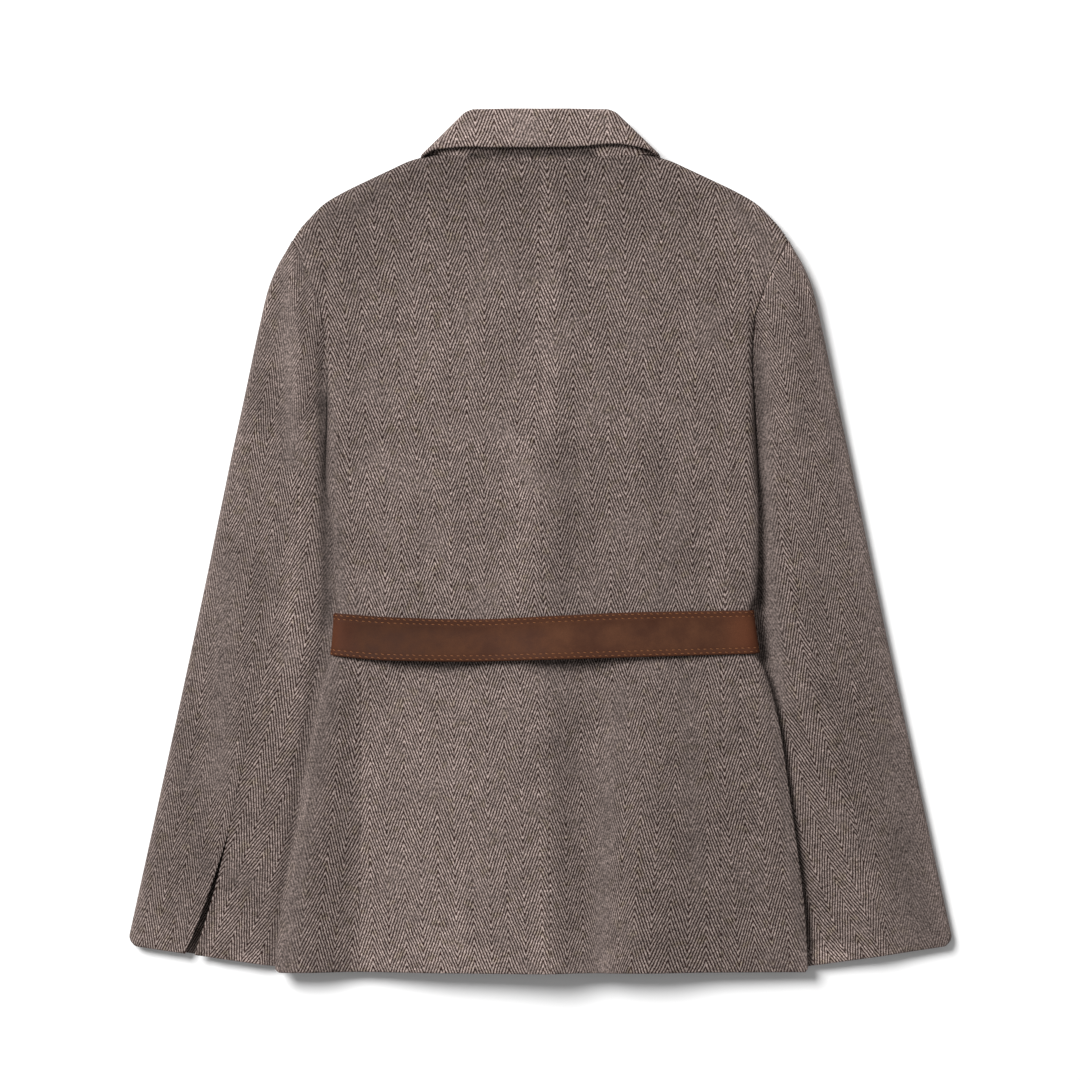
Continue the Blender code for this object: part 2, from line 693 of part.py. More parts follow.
def side_panel(side, name):
    below = heights_below()
    below[-1] -= SEAM_GAP
    rows = np.concatenate([below, heights_above()[:SIDE_PANEL_ROWS_ABOVE]])
    below_underarm = middles(rows) < UNDERARM_Y - SEAM_GAP
    on_back = middles(SIDE_COLUMNS) < 2
    keep = below_underarm[:, None] | on_back[None, :]
    wall(name, side_surface(side), rows, SIDE_COLUMNS, CLOTH, -side, keep)


def sleeve_rows():
    """Shares of the sleeve's length, with a close pair at the underarm, and the underarm's own share."""
    underarm = (SLEEVE_HEAD_Y - UNDERARM_Y) / (SLEEVE_HEAD_Y - CUFF_INNER_Y)
    above = np.linspace(0, underarm - SEAM_GAP, SLEEVE_ROWS_ABOVE)
    return np.concatenate([above, np.linspace(underarm + SEAM_GAP, 1, SLEEVE_ROWS_BELOW)]), underarm


def topsleeve(side, name):
    wall(name, topsleeve_surface(side), sleeve_rows()[0], SLEEVE_COLUMNS, CLOTH, side)


def undersleeve(side, name):
    rows, underarm = sleeve_rows()
    rows = rows[elbow_seam(rows) < 1 - UNDERSLEEVE_TIP]
    whole_tube = middles(rows) > underarm
    on_top = middles(SLEEVE_COLUMNS) < 1
    keep = whole_tube[:, None] | on_top[None, :]
    wall(name, undersleeve_surface(side), rows, SLEEVE_COLUMNS, CLOTH, -side, keep)


def collar():
    rows = np.concatenate([
        np.linspace(0, 1, COLLAR_FALL_ROWS),
        np.linspace(1, 2, COLLAR_ROLL_ROWS)[1:],
        np.linspace(2, 3, COLLAR_STAND_ROWS)[1:],
    ])
    wall("collar", collar_surface, rows, both_ways(COLLAR_COLUMNS), COLLAR_CLOTH, -1)


def belt():
    columns = both_ways(BELT_BACK_COLUMNS + BELT_EDGE_COLUMNS)
    rows = np.linspace(0, 1, BELT_ROWS)
    wall("belt", belt_surface, rows, columns, LEATHER, -1, colour=SUEDE, roughness=SUEDE_ROUGHNESS)


def lapel(side, name):
    rows = np.linspace(0, 1, LAPEL_ROWS)
    wall(name, lapel_surface(side), rows, np.linspace(0, 1, LAPEL_COLUMNS), CLOTH, side)


def main():
    for old in list(bpy.data.objects):
        bpy.data.objects.remove(old, do_unlink=True)
    for side, word in ((LEFT, "left"), (RIGHT, "right")):
        back(side, f"back_{word}")
        side_panel(side, f"side_{word}")
        front(side, f"front_{word}")
        lapel(side, f"lapel_{word}")
        topsleeve(side, f"topsleeve_{word}")
        undersleeve(side, f"undersleeve_{word}")
    collar()
    belt()


main()
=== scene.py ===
"""Looks of a belted blazer coat of herringbone wool, laid out flat on its front.

Metres, +Z up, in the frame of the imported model. Each CAD wall is replaced by a fine shell on the same
surface, with its creases, rounded edges and weave, and the belt gets its stitches.
"""

from collections import namedtuple
from functools import partial, reduce

import bpy
import numpy as np
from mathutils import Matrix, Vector, noise


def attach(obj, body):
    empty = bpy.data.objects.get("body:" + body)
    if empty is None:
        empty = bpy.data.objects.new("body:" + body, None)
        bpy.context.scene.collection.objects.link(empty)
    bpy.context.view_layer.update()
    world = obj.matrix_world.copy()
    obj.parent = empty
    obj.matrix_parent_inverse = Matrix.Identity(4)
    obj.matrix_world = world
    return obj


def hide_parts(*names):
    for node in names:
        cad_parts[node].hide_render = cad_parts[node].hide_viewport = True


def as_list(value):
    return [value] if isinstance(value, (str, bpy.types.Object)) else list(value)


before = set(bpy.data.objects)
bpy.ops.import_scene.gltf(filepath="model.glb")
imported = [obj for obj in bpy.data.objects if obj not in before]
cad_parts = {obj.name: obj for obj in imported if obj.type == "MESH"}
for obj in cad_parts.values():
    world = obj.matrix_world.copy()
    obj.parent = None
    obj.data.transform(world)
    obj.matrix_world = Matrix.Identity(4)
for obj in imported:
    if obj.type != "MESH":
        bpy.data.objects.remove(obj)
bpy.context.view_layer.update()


def table(fields, *rows):
    """A table of numbers whose columns have names."""
    row_type = namedtuple("Row", fields)
    return [row_type(*row) for row in rows]


def clamp(value):
    """A value held between 0 and 1."""
    return np.clip(value, 0.0, 1.0)


def curve(x, y):
    """A smooth line through places, with no overshoot, going on straight past its ends."""
    length = np.diff(x)
    rise = np.diff(y) / length
    before, after = 2 * length[1:] + length[:-1], length[1:] + 2 * length[:-1]
    with np.errstate(divide="ignore", invalid="ignore"):
        mean = (before + after) / (before / rise[:-1] + after / rise[1:])
    bent = np.where(rise[:-1] * rise[1:] > 0, mean, 0.0)
    slope = np.concatenate([rise[:1], bent, rise[-1:]])

    def value(at):
        at = np.asarray(at, float)
        i = np.clip(np.searchsorted(x, at) - 1, 0, len(length) - 1)
        share = (at - x[i]) / length[i]
        t = clamp(share)
        inside = (
            (1 + 2 * t) * (1 - t) ** 2 * y[i]
            + t * (1 - t) ** 2 * length[i] * slope[i]
            + t * t * (3 - 2 * t) * y[i + 1]
            + t * t * (t - 1) * length[i] * slope[i + 1]
        )
        past = np.where(share > 1, slope[i + 1], slope[i])
        return inside + past * (share - t) * length[i]

    return value


def lines(fields, *rows):
    """Smooth lines through a table's columns along its first one, under the columns' names."""
    along, *columns = np.array(rows).T
    return namedtuple("Lines", fields.split()[1:])(*(curve(along, column) for column in columns))


# The coat's two sides, the way up, and small amounts
LEFT, RIGHT = -1, 1
WORD = {LEFT: "left", RIGHT: "right"}
UP = np.array([0.0, 0.0, 1.0])
TINY = 1e-6
NO_LENGTH = 1e-18
STEP = 1e-4

# Driving sizes
HEM_Y = -0.3758
SHOULDER_X = 0.216
SHOULDER_Y = 0.261
UNDERARM_Y = 0.06
SIDE_SEAM_TOP_Y = 0.135
SIDE_PANEL_TOP_Y = 0.134
NECK_X = 0.0835
CUFF_OUTER_Y = -0.353
CUFF_INNER_Y = -0.3738
SLEEVE_HEAD_Y = 0.256
SLEEVE_LENGTH = SLEEVE_HEAD_Y - CUFF_INNER_Y

# Thicknesses and gaps
CLOTH = 0.002
COLLAR_CLOTH = 0.0026
LEATHER = 0.0024
SEAM_GAP = 0.0001
BELT_GAP = 0.001

# Heights of the layers over the surface
BACK_EDGE_Z = 0.0225
BACK_CROWN = 0.003
NECK_DROP = 0.005
SHOULDER_MID_Z = 0.01
COLLAR_TOP_Z = 0.0237
COLLAR_FLARE = 0.003
LAYER_STEP = 0.0031

# Widths of the round edges, and the largest share of a panel or sleeve that one may take
SIDE_ROUND = 0.008
SHOULDER_ROUND = 0.01
NECK_FADE = 0.022
SLEEVE_ROUND = 0.006
COLLAR_ROLL = 0.0029
MOST_ROUND = 0.8
MOST_SLEEVE_ROUND = 0.3

# The side panel's reach under the body, and the stretch in which the body comes down past the sleeve
SIDE_FRONT_INSET = 0.032
UNDERARM_STEP = 0.0006
INSET_POWER = 4
LIFT_FLAT = 0.022
LIFT_RAMP = 0.055

# The belt: its reach under the body, its dip into the cloth, and the column up to which it runs straight
BELT_UNDER = 0.029
BELT_DIP = 0.0012
BELT_DIP_WIDTH = 0.026
BELT_STRAIGHT = 0.5

# The fronts: the right one is outermost, so it lies lowest
OVERLAP_RAMP = 0.018
OVERLAP_MARGIN = 0.022
LAPEL_START_Y = 0.1
LAPEL_WIDTH = 0.074
LAPEL_BOTTOM_Y = 0.12
LAPEL_TOP_Y = 0.282
LAPEL_RAMP = 0.012
FRONT_NECK_DROP = 0.0085
COLLAR_CLEAR_X = 0.12

# The body's outline, which is also the armhole above the underarm
SIDE_LINE = lines(
    "y left right", (-0.3758, 0.231, 0.2327), (-0.328, 0.2266, 0.2303), (-0.26, 0.2146, 0.2222),
    (-0.2175, 0.2075, 0.216), (-0.167, 0.1988, 0.2088), (-0.114, 0.1862, 0.1955), (-0.1, 0.1797, 0.188),
    (-0.082, 0.1776, 0.185), (-0.062, 0.1766, 0.1828), (-0.045, 0.179, 0.1884), (0.01, 0.1815, 0.1898),
    (0.06, 0.187, 0.1888), (0.11, 0.1855, 0.1862), (0.16, 0.186, 0.1843), (0.19, 0.1892, 0.186),
    (0.214, 0.1956, 0.193), (0.235, 0.2045, 0.203), (0.261, 0.216, 0.216),
)
SIDE_LINES = {LEFT: SIDE_LINE.left, RIGHT: SIDE_LINE.right}

# The seam between back and side panel, and the centre back seam, which wanders to the right
SIDE_BACK_SEAM = lines(
    "y x", (-0.3758, 0.1575), (-0.25, 0.1565), (-0.15, 0.1562), (-0.082, 0.157), (0.0, 0.163),
    (0.06, 0.1668), (0.135, 0.17),
)
CENTRE_SEAM = lines(
    "y x", (-0.3758, 0.009), (-0.226, 0.0065), (-0.104, 0.0044), (-0.017, 0.0013), (0.3294, -0.0009),
)

# The neck seam from the centre back to the neck point, and the shoulder from there to the sleeve
TOP_LINE = lines(
    "x y", (0.0, 0.3294), (0.03, 0.3302), (0.055, 0.3335), (0.0835, 0.3345), (0.095, 0.3345),
    (0.1048, 0.3328), (0.1148, 0.3298), (0.127, 0.3242), (0.1505, 0.3132), (0.1718, 0.3028),
    (0.1892, 0.2923), (0.1997, 0.2819), (0.2092, 0.2714), (0.216, 0.261),
)
NECK_CENTRE_Y = TOP_LINE.y(0.0)
NECK_POINT_Y = TOP_LINE.y(NECK_X)

# The height of the body's underside at its sides, and how far its top edge curls down there
EDGE = lines(
    "y lift curl", (-0.3758, 0.0135, 0.0045), (0.03, 0.0135, 0.0045), (0.075, 0.0, 0.0112),
    (0.1, 0.0, 0.009), (0.135, 0.0, 0.0058), (0.18, 0.0, 0.0032), (0.225, 0.0, 0.0016),
    (0.261, 0.0, 0.0012),
)

# The sleeve: outer edge, how far it lies under the body, and its top's height at the outer and inner edge
SLEEVE = lines(
    "y outer under outer_z inner_z", (-0.3735, 0.365, 0.015, 0.0105, 0.0105),
    (-0.2262, 0.3328, 0.015, 0.011, 0.011), (-0.03, 0.2906, 0.014, 0.0118, 0.0114),
    (0.025, 0.2794, 0.004, 0.0122, 0.0116), (0.045, 0.2752, 0.002, 0.0124, 0.012),
    (0.06, 0.2722, 0.0012, 0.0125, 0.0128), (0.1218, 0.2588, 0.0004, 0.014, 0.0152),
    (0.187, 0.2449, 0.0002, 0.016, 0.0185), (0.2192, 0.2371, 0.0002, 0.017, 0.0188),
    (0.2401, 0.2284, 0.0002, 0.0175, 0.0182), (0.254, 0.2202, 0.0002, 0.0165, 0.0166),
    (0.261, 0.2162, 0.0002, 0.015, 0.015),
)
SLEEVE_CROWN = 0.0022
SLEEVE_CROWN_POWER = 1.5
SLEEVE_CROWN_FADE = 0.3
FOREARM_INSET = 0.026
UNDERSLEEVE_TIP = 0.004

# The seam at the back of the sleeve, as a share of its width in from the outer edge
ELBOW_SEAM = lines(
    "row share", (0.0, 1.0), (0.086, 1.0), (0.3, 0.74), (0.62, 0.5), (0.82, 0.48), (0.91, 0.45),
    (1.0, 0.382),
)

# The open cuff vent at the left sleeve's seam: where it starts, and its width at the cuff
VENT_TOP_ROW = 0.82
VENT_WIDTH = 0.0084

# The largest folds of the back: ridges have a height over 0 and troughs one under 0
FOLDS = table(
    "top_y top_x bottom_y bottom_x width height fade", (0.15, -0.001, -0.3758, 0.006, 0.034, 0.0026, 0.12),
    (-0.105, -0.156, -0.3758, -0.16, 0.03, -0.0026, 0.06),
    (-0.105, 0.042, -0.3758, 0.04, 0.026, -0.0012, 0.06),
    (-0.105, 0.086, -0.3758, 0.09, 0.038, 0.0018, 0.08),
    (-0.105, -0.08, -0.3758, -0.088, 0.042, 0.0012, 0.08),
)

# The front's inner edge for the right front: the overlap, then the neckline; and the lapel's width
NECK_LINE = lines(
    "y x", (-0.3758, -0.02), (0.03, -0.02), (0.1, 0.005), (0.2, 0.044), (0.3, 0.083), (0.342, 0.0835),
)
LAPEL = lines(
    "y width raised", (LAPEL_START_Y, 0.0, 0.0), (0.12, 0.008, 0.045), (0.19, 0.048, 0.08),
    (0.25, LAPEL_WIDTH, 0.104), (0.282, 0.03, 0.098), (0.3, 0.026, 0.07), (0.342, 0.026, 0.06),
)

# The collar from the centre back (0) round the neck side (1 to 2) to its end under the coat (3), and the
# part past which its free edge no longer stands off
COLLAR = lines(
    "part free_x free_y roll_x roll_y stand", (0.0, 0.0, 0.3409, 0.0, 0.3717, 0.043),
    (0.5, 0.05, 0.341, 0.033, 0.3721, 0.042), (1.0, 0.0952, 0.3376, 0.06, 0.3722, 0.035),
    (1.5, 0.105, 0.333, 0.0688, 0.3688, 0.021), (2.0, 0.105, 0.3262, 0.0692, 0.3605, 0.0168),
    (3.0, 0.106, 0.292, 0.068, 0.33, 0.016),
)
COLLAR_FALL = COLLAR.roll_y(0) - COLLAR.free_y(0)
COLLAR_STAND = COLLAR.stand(0)
COLLAR_SIDE_X = COLLAR.free_x(1)
COLLAR_UNDER = COLLAR.free_y(2) - COLLAR.free_y(3)
COLLAR_FLARE_END = 1.5

# How the collar's free edge waves along its length
COLLAR_WAVE = lines(
    "x rise", (-0.11, 0.0), (-0.07, 0.0006), (-0.04, -0.0004), (0.025, 0.0), (0.07, 0.0032), (0.09, 0.0014),
    (0.11, 0.0),
)

# The part of the collar up to which its stand is sewn to the back, and the part in which it leaves it
STAND_SEWN = 1.0
STAND_TURN = 0.4

# The belt's edges across the back
BELT_MIDDLE_X = 0.0039
BELT = lines(
    "x top bottom", (-0.179, -0.0635, -0.1006), (-0.1292, -0.067, -0.1044), (-0.0605, -0.0687, -0.1053),
    (BELT_MIDDLE_X, -0.0661, -0.1035), (0.084, -0.0626, -0.1014), (0.186, -0.0609, -0.0988),
)
BELT_MIDDLE_Y = BELT.top(BELT_MIDDLE_X)
BELT_WIDTH = BELT_MIDDLE_Y - BELT.bottom(BELT_MIDDLE_X)

# Fineness of the shells, and the close steps in from an edge that is rounded
FINE_CELL = 0.003
ROUND_CELL = 0.0015
PLAIN_CELL = 0.005
ROLL_CELL = COLLAR_ROLL / 4
EDGE_STEPS = (0.0, 0.00025, 0.0006, 0.0011, 0.0018)
EDGE_REACH = 0.003
SHARP_ANGLE = np.radians(60)

# Numbers of the columns at the ends of a flat run, a bend and the next flat run: round the body's side, and
# round a sleeve's edge or the collar; and the row half-way down a sleeve
SIDE_ENDS = (0, 1, 3, 4)
SIDE_MIDDLE = 2
BEND_STOP = 2
BEND_ENDS = (0, 1, BEND_STOP, 3)
BEND_MIDDLE = 1.5
MIDDLE_ROW = 0.5

# Rounded edges: how wide they are, and the shares of the thickness by which the outer and inner face turn in
SEAM_EDGE, HEM_EDGE = table("width outer inner", (0.0018, 0.14, 0.0), (0.002, 0.42, 0.32))

# The heights between which the fold at the sleeve's inner edge grows, and the top of the sleeve's head
FOLD_TOP_Y = 0.17
FOLD_FULL_Y = 0.04
SLEEVE_TIP_Y = 0.2606

# Rounded corners of the cuffs and the body's hem, seen from above
CUFF_CORNER = 0.0095
HEM_CORNER = 0.0045

# Unevenness of cloth that lies loose
LOOSE_HEIGHT = 0.00035
LOOSE_SIZE = 0.055

# Creases: soft ridges have a height over 0 and troughs one under 0; each fades out over a share of its length
CREASE = "start_x start_y end_x end_y width height fade"
BACK_CREASES = table(
    CREASE, (0.013, 0.305, 0.012, 0.09, 0.011, 0.0012, 0.18), (0.005, 0.1, 0.005, -0.05, 0.026, 0.002, 0.4),
    (-0.165, 0.23, -0.156, 0.0, 0.02, -0.001, 0.35), (0.16, 0.23, 0.155, 0.03, 0.02, -0.001, 0.35),
    (-0.095, 0.29, -0.06, 0.17, 0.024, 0.0008, 0.35), (0.1, 0.285, 0.07, 0.16, 0.022, 0.0008, 0.35),
    (-0.12, -0.005, -0.105, -0.06, 0.012, 0.0007, 0.4), (0.115, 0.01, 0.105, -0.06, 0.013, 0.0007, 0.4),
)
SLEEVE_CREASES = table(
    CREASE, (-0.214, 0.242, -0.209, 0.122, 0.008, 0.0026, 0.2),
    (-0.23, 0.225, -0.225, 0.11, 0.009, -0.001, 0.25), (-0.242, 0.01, -0.236, -0.07, 0.011, -0.0016, 0.35),
    (-0.213, 0.0, -0.214, -0.105, 0.01, 0.002, 0.3), (-0.268, 0.06, -0.282, -0.12, 0.012, 0.001, 0.35),
    (-0.266, -0.3, -0.248, -0.3735, 0.011, 0.0014, 0.3),
    (-0.273, -0.275, -0.293, -0.368, 0.005, -0.002, 0.2), (0.3, -0.328, 0.356, -0.32, 0.0016, -0.0005, 0.3),
    (0.19, -0.02, 0.195, -0.105, 0.0055, -0.0045, 0.3),
    (-0.1885, 0.15, -0.184, -0.09, 0.0055, -0.0032, 0.25),
    (-0.193, -0.1, -0.234, -0.3735, 0.005, -0.0018, 0.2), (0.218, 0.24, 0.222, 0.105, 0.011, 0.0016, 0.25),
    (0.193, 0.17, 0.194, -0.09, 0.005, -0.0018, 0.25), (0.198, -0.09, 0.237, -0.3735, 0.005, -0.0018, 0.2),
    (0.269, -0.05, 0.293, -0.348, 0.019, 0.0024, 0.25), (0.23, 0.04, 0.24, -0.11, 0.013, 0.0012, 0.3),
)
FRONT_CREASES = table(
    CREASE, (-0.14, 0.22, -0.12, -0.05, 0.022, 0.0008, 0.3),
    (-0.09, -0.1, -0.1, -0.3758, 0.024, 0.0009, 0.25), (0.13, 0.22, 0.11, 0.0, 0.02, 0.0009, 0.3),
    (0.08, -0.12, 0.1, -0.3758, 0.026, 0.0008, 0.25),
)

# How the skirt lies below the belt: heights across it, faded in over a stretch
SKIRT_LIE = lines(
    "x height", (-0.235, 0.0), (-0.206, 0.0012), (-0.159, -0.006), (-0.08, 0.0004), (0.004, 0.0062),
    (0.034, 0.001), (0.048, -0.0002), (0.066, 0.0022), (0.09, 0.002), (0.15, -0.0034), (0.217, -0.005),
    (0.235, -0.005),
)
SKIRT_TOP_Y = -0.105
SKIRT_FADE = 0.08
BELT_CLEAR = 0.019
BELT_FADE = 0.035

# The herringbone: a line's rise along the columns, lines in a column, and threads in a pair of columns
LINE_RISE = 0.00644
COLUMN_LINES = 6.0
PAIR_THREADS = 48.0

# Where one column's point runs on each panel, and the width of a pair of columns there
BACK_GRAIN = lines(
    "y left left_pair right right_pair", (-0.3567, 0.0022, 0.0296, 0.037, 0.0279),
    (-0.2697, -0.0004, 0.0296, 0.0361, 0.0278), (-0.1566, -0.0026, 0.029, 0.0352, 0.0274),
    (-0.0087, -0.0057, 0.0287, 0.0318, 0.0287), (0.0783, -0.0057, 0.02915, 0.0291, 0.02985),
    (0.1653, -0.0039, 0.02975, 0.0283, 0.03045), (0.2436, -0.0022, 0.0313, 0.0257, 0.03175),
    (0.3132, -0.0004, 0.03245, 0.0222, 0.0326),
)
SIDE_GRAIN = {
    LEFT: lines("y x", (-0.3567, -0.1944), (-0.1218, -0.1736), (-0.0087, -0.1779), (0.0783, -0.1805)),
    RIGHT: lines("y x", (-0.3567, 0.1866), (-0.1566, 0.1736), (0.0783, 0.179)),
}
SIDE_PAIR = {LEFT: 0.0304, RIGHT: 0.0296}
TOPSLEEVE_GRAIN = {
    LEFT: lines(
        "y x", (-0.3567, -0.2967), (0.0348, -0.2301), (0.0865, -0.2246), (0.1252, -0.2153),
        (0.1611, -0.208), (0.1931, -0.202), (0.256, -0.182),
    ),
    RIGHT: lines(
        "y x", (-0.3567, 0.3032), (-0.0522, 0.2606), (0.0919, 0.2343), (0.1505, 0.2236), (0.1931, 0.213),
        (0.256, 0.195),
    ),
}
TOPSLEEVE_PAIR = {LEFT: 0.0261, RIGHT: 0.027}
UNDERSLEEVE_GRAIN = lines(
    "y x", (-0.3567, 0.3015), (-0.2697, 0.2701), (-0.1914, 0.2449), (-0.1218, 0.2266), (-0.0522, 0.2118),
    (0.0348, 0.1971), (0.1218, 0.191),
)
UNDERSLEEVE_SHIFT = {LEFT: 0.0, RIGHT: 0.008}
UNDERSLEEVE_PAIR = 0.0304
COLLAR_GRAIN_X = -0.0074
COLLAR_PAIR = 0.0326
FRONT_GRAIN_X = 0.045
FRONT_PAIR = 0.0296
GRAIN_STEP = 0.001

# How far the flute beside the centre seam pushes the weave, at the hem, and where that starts
SKIRT_CROWD = lines(
    "x shift", (0.02, 0.0), (0.04, 0.0), (0.076, 0.0138), (0.111, 0.0098), (0.143, 0.005), (0.18, 0.0),
    (0.24, 0.0),
)
CROWD_TOP_Y = -0.18
CROWD_RUN = 0.18

# Places where brushed fibres hide the weave, and strokes of painted light and shade (painted shadows under
# collar and belt, darkened grooves, lightened rims): lines with a width and a strength, under 0 for shade
STROKE = "start_x start_y end_x end_y width strength"
NAP_LINES = table(
    STROKE, (-0.274, -0.02, -0.28, -0.21, 0.012, 0.75), (-0.2243, 0.242, -0.2205, 0.201, 0.0045, 0.7),
    (-0.2205, 0.201, -0.217, 0.07, 0.0095, 0.8), (-0.245, 0.187, -0.355, -0.34, 0.009, 0.5),
    (0.245, 0.187, 0.355, -0.34, 0.016, 0.75), (-0.095, 0.345, -0.085, 0.353, 0.006, 0.7),
    (-0.1805, 0.11, -0.178, 0.02, 0.0045, 0.65), (-0.178, 0.02, -0.1725, -0.06, 0.0065, 0.85),
    (-0.179, -0.09, -0.224, -0.37, 0.011, 0.85), (0.192, 0.16, 0.2, -0.05, 0.0085, 0.95),
    (0.2, -0.05, 0.2075, -0.14, 0.009, 0.95), (-0.1885, 0.13, -0.185, -0.08, 0.007, 0.85),
    (0.315, -0.18, 0.33, -0.34, 0.026, 0.8), (0.19, 0.03, 0.188, -0.06, 0.006, 0.6),
    (0.069, -0.135, 0.0585, -0.215, 0.011, 0.6), (0.0585, -0.215, 0.0515, -0.375, 0.009, 0.85),
    (0.1265, -0.125, 0.136, -0.3, 0.008, 0.5), (0.196, -0.1, 0.231, -0.37, 0.006, 0.6),
)
PAINTED_LIGHT_AND_SHADE_LINES = table(
    STROKE, (-0.15, 0.345, 0.05, 0.345, 0.1, -0.24), (-0.161, 0.25, -0.158, 0.12, 0.03, -0.11),
    (-0.096, 0.18, -0.09, 0.06, 0.035, 0.06), (0.0065, 0.3, 0.006, 0.1, 0.009, 0.15),
    (-0.0155, 0.09, -0.019, -0.055, 0.015, 0.14), (0.0213, 0.075, 0.022, -0.06, 0.014, -0.16),
    (0.104, 0.08, 0.104, -0.05, 0.012, -0.16), (0.156, 0.06, 0.156, -0.05, 0.011, 0.1),
    (0.2345, -0.045, 0.278, -0.245, 0.02, -0.15), (-0.085, -0.15, -0.085, -0.37, 0.065, 0.13),
    (0.14, -0.24, 0.14, -0.37, 0.055, -0.09), (-0.209, 0.1, -0.222, -0.17, 0.011, 0.15),
    (-0.242, -0.017, -0.2745, -0.3, 0.011, -0.12), (-0.255, -0.345, -0.24, -0.36, 0.02, 0.15),
    (0.25, -0.36, 0.27, -0.355, 0.02, 0.15), (0.017, -0.12, 0.02, -0.19, 0.012, -0.12),
    (0.007, -0.25, 0.007, -0.37, 0.012, 0.12), (-0.2, -0.2, -0.226, -0.36, 0.008, 0.1),
    (-0.2175, 0.24, -0.214, 0.13, 0.009, 0.14), (-0.192, 0.24, -0.188, 0.12, 0.006, -0.18),
    (-0.188, 0.12, -0.1838, -0.07, 0.0055, -0.36), (-0.1925, -0.1, -0.23, -0.36, 0.005, -0.14),
    (0.1823, 0.235, 0.1823, 0.15, 0.003, -0.32), (0.2118, 0.256, 0.2003, 0.23, 0.0022, 0.45),
    (0.2003, 0.23, 0.1853, 0.197, 0.0022, 0.45), (-0.06, 0.335, 0.045, 0.3358, 0.0046, -0.58),
    (-0.09, 0.35, -0.02, 0.362, 0.014, 0.12), (-0.2, 0.27, -0.1, 0.325, 0.03, -0.14),
    (-0.1745, 0.01, -0.176, -0.05, 0.008, -0.14), (-0.2267, 0.02, -0.229, -0.05, 0.008, -0.13),
    (-0.2095, -0.05, -0.2095, -0.14, 0.008, 0.12), (-0.305, -0.17, -0.315, -0.31, 0.02, -0.13),
    (-0.09, -0.03, -0.085, -0.06, 0.02, 0.1), (-0.165, -0.13, -0.165, -0.37, 0.009, -0.14),
    (-0.152, -0.13, -0.153, -0.37, 0.007, 0.14), (-0.07, -0.2, -0.07, -0.36, 0.008, 0.1),
    (-0.15, -0.365, 0.05, -0.368, 0.018, 0.12), (-0.125, -0.107, -0.06, -0.1085, 0.0075, -0.36),
    (0.0, -0.1085, 0.05, -0.107, 0.0085, -0.38), (0.13, 0.0, 0.135, -0.06, 0.012, -0.1),
    (0.268, -0.07, 0.276, -0.17, 0.016, -0.12), (0.208, -0.17, 0.214, -0.24, 0.007, -0.14),
    (0.226, -0.28, 0.23, -0.35, 0.007, -0.2), (0.316, -0.265, 0.33, -0.32, 0.018, -0.16),
    (0.196, -0.1, 0.236, -0.37, 0.006, -0.12), (0.244, 0.19, 0.356, -0.34, 0.0045, 0.42),
    (0.184, 0.293, 0.2266, 0.24, 0.004, 0.3), (0.2266, 0.24, 0.244, 0.19, 0.0045, 0.42),
    (-0.246, 0.18, -0.245, 0.1, 0.009, -0.16), (-0.2614, 0.08, -0.264, 0.02, 0.008, 0.14),
    (-0.2614, -0.365, -0.244, -0.368, 0.008, 0.3), (0.243, -0.365, 0.261, -0.363, 0.008, 0.3),
    (-0.295, -0.24, -0.29, -0.31, 0.012, -0.12), (-0.14, -0.335, -0.06, -0.34, 0.03, 0.08),
    (-0.002, -0.27, -0.002, -0.372, 0.008, 0.12), (0.173, -0.035, 0.174, -0.06, 0.008, -0.15),
    (0.1905, 0.15, 0.1915, 0.04, 0.005, -0.22), (0.115, -0.108, 0.128, -0.114, 0.01, -0.2),
    (0.19, -0.035, 0.195, -0.1, 0.0045, -0.45),
)

# Colours, as linear red, green, blue
YARN_LIGHT = (0.264, 0.21, 0.19)
YARN_DARK = (0.02, 0.008, 0.006)
YARN_OLIVE = (0.195, 0.157, 0.11)
NAP_GREY = (0.123, 0.096, 0.087)
SUEDE_DARK = (0.0425, 0.0136, 0.0057)
SUEDE_LIGHT = (0.0735, 0.0288, 0.014)
SUEDE_WARM = (0.102, 0.028, 0.011)
SUEDE_RIM = (0.049, 0.0163, 0.0074)
THREAD_TAN = (0.225, 0.086, 0.031)
FLOOR_WHITE = (0.94, 0.94, 0.94)
FILL_WHITE = (1.0, 1.0, 1.0, 1.0)

# How far the belt's lower edge stands off the back, and the share of its width that does
BELT_LIFT_END = 0.175
BELT_LIFT = lines(
    "x lift", (-BELT_LIFT_END, 0.0), (-0.13, 0.0056), (-0.095, 0.0078), (-0.04, 0.0048), (0.02, 0.0084),
    (0.06, 0.0062), (0.1, 0.003), (BELT_LIFT_END, 0.0),
)
BELT_LIFT_ROWS = 0.8

# Belt stitches: rows in from each edge, spacing, length, slant, thickness and the groove that they lie in
STITCH_ROWS = (0.0018, 0.005)
STITCH_PITCH = 0.0055
STITCH_LENGTH = 0.003
STITCH_SLANT = 0.0003
STITCH_SLANT_TURN = 2.4
STITCH_RADIUS = 0.00036
STITCH_RINGS = 7
STITCH_SIDES = 8
STITCH_RISE = 0.0003
STITCH_DENT = 0.00022
STITCH_DENT_WIDTH = 0.0009
MOST_STITCH = 0.92

# The camera looks straight down; the lights and the floor
FIELD = 0.9396
CAMERA_X = -0.0004
CAMERA_HEIGHT = 3.2
FOCUS_HEIGHT = 0.015
SENSOR_MM = 36.0
MAIN_LIGHT = (-2.1, 2.0, 3.2)
MAIN_LIGHT_SIZE = 2.2
MAIN_LIGHT_POWER = 280.0
FILL_STRENGTH = 0.33
FLOOR_SIZE = 12.0
FLOOR_GAP = 0.0004
FLOOR_ROUGHNESS = 0.9

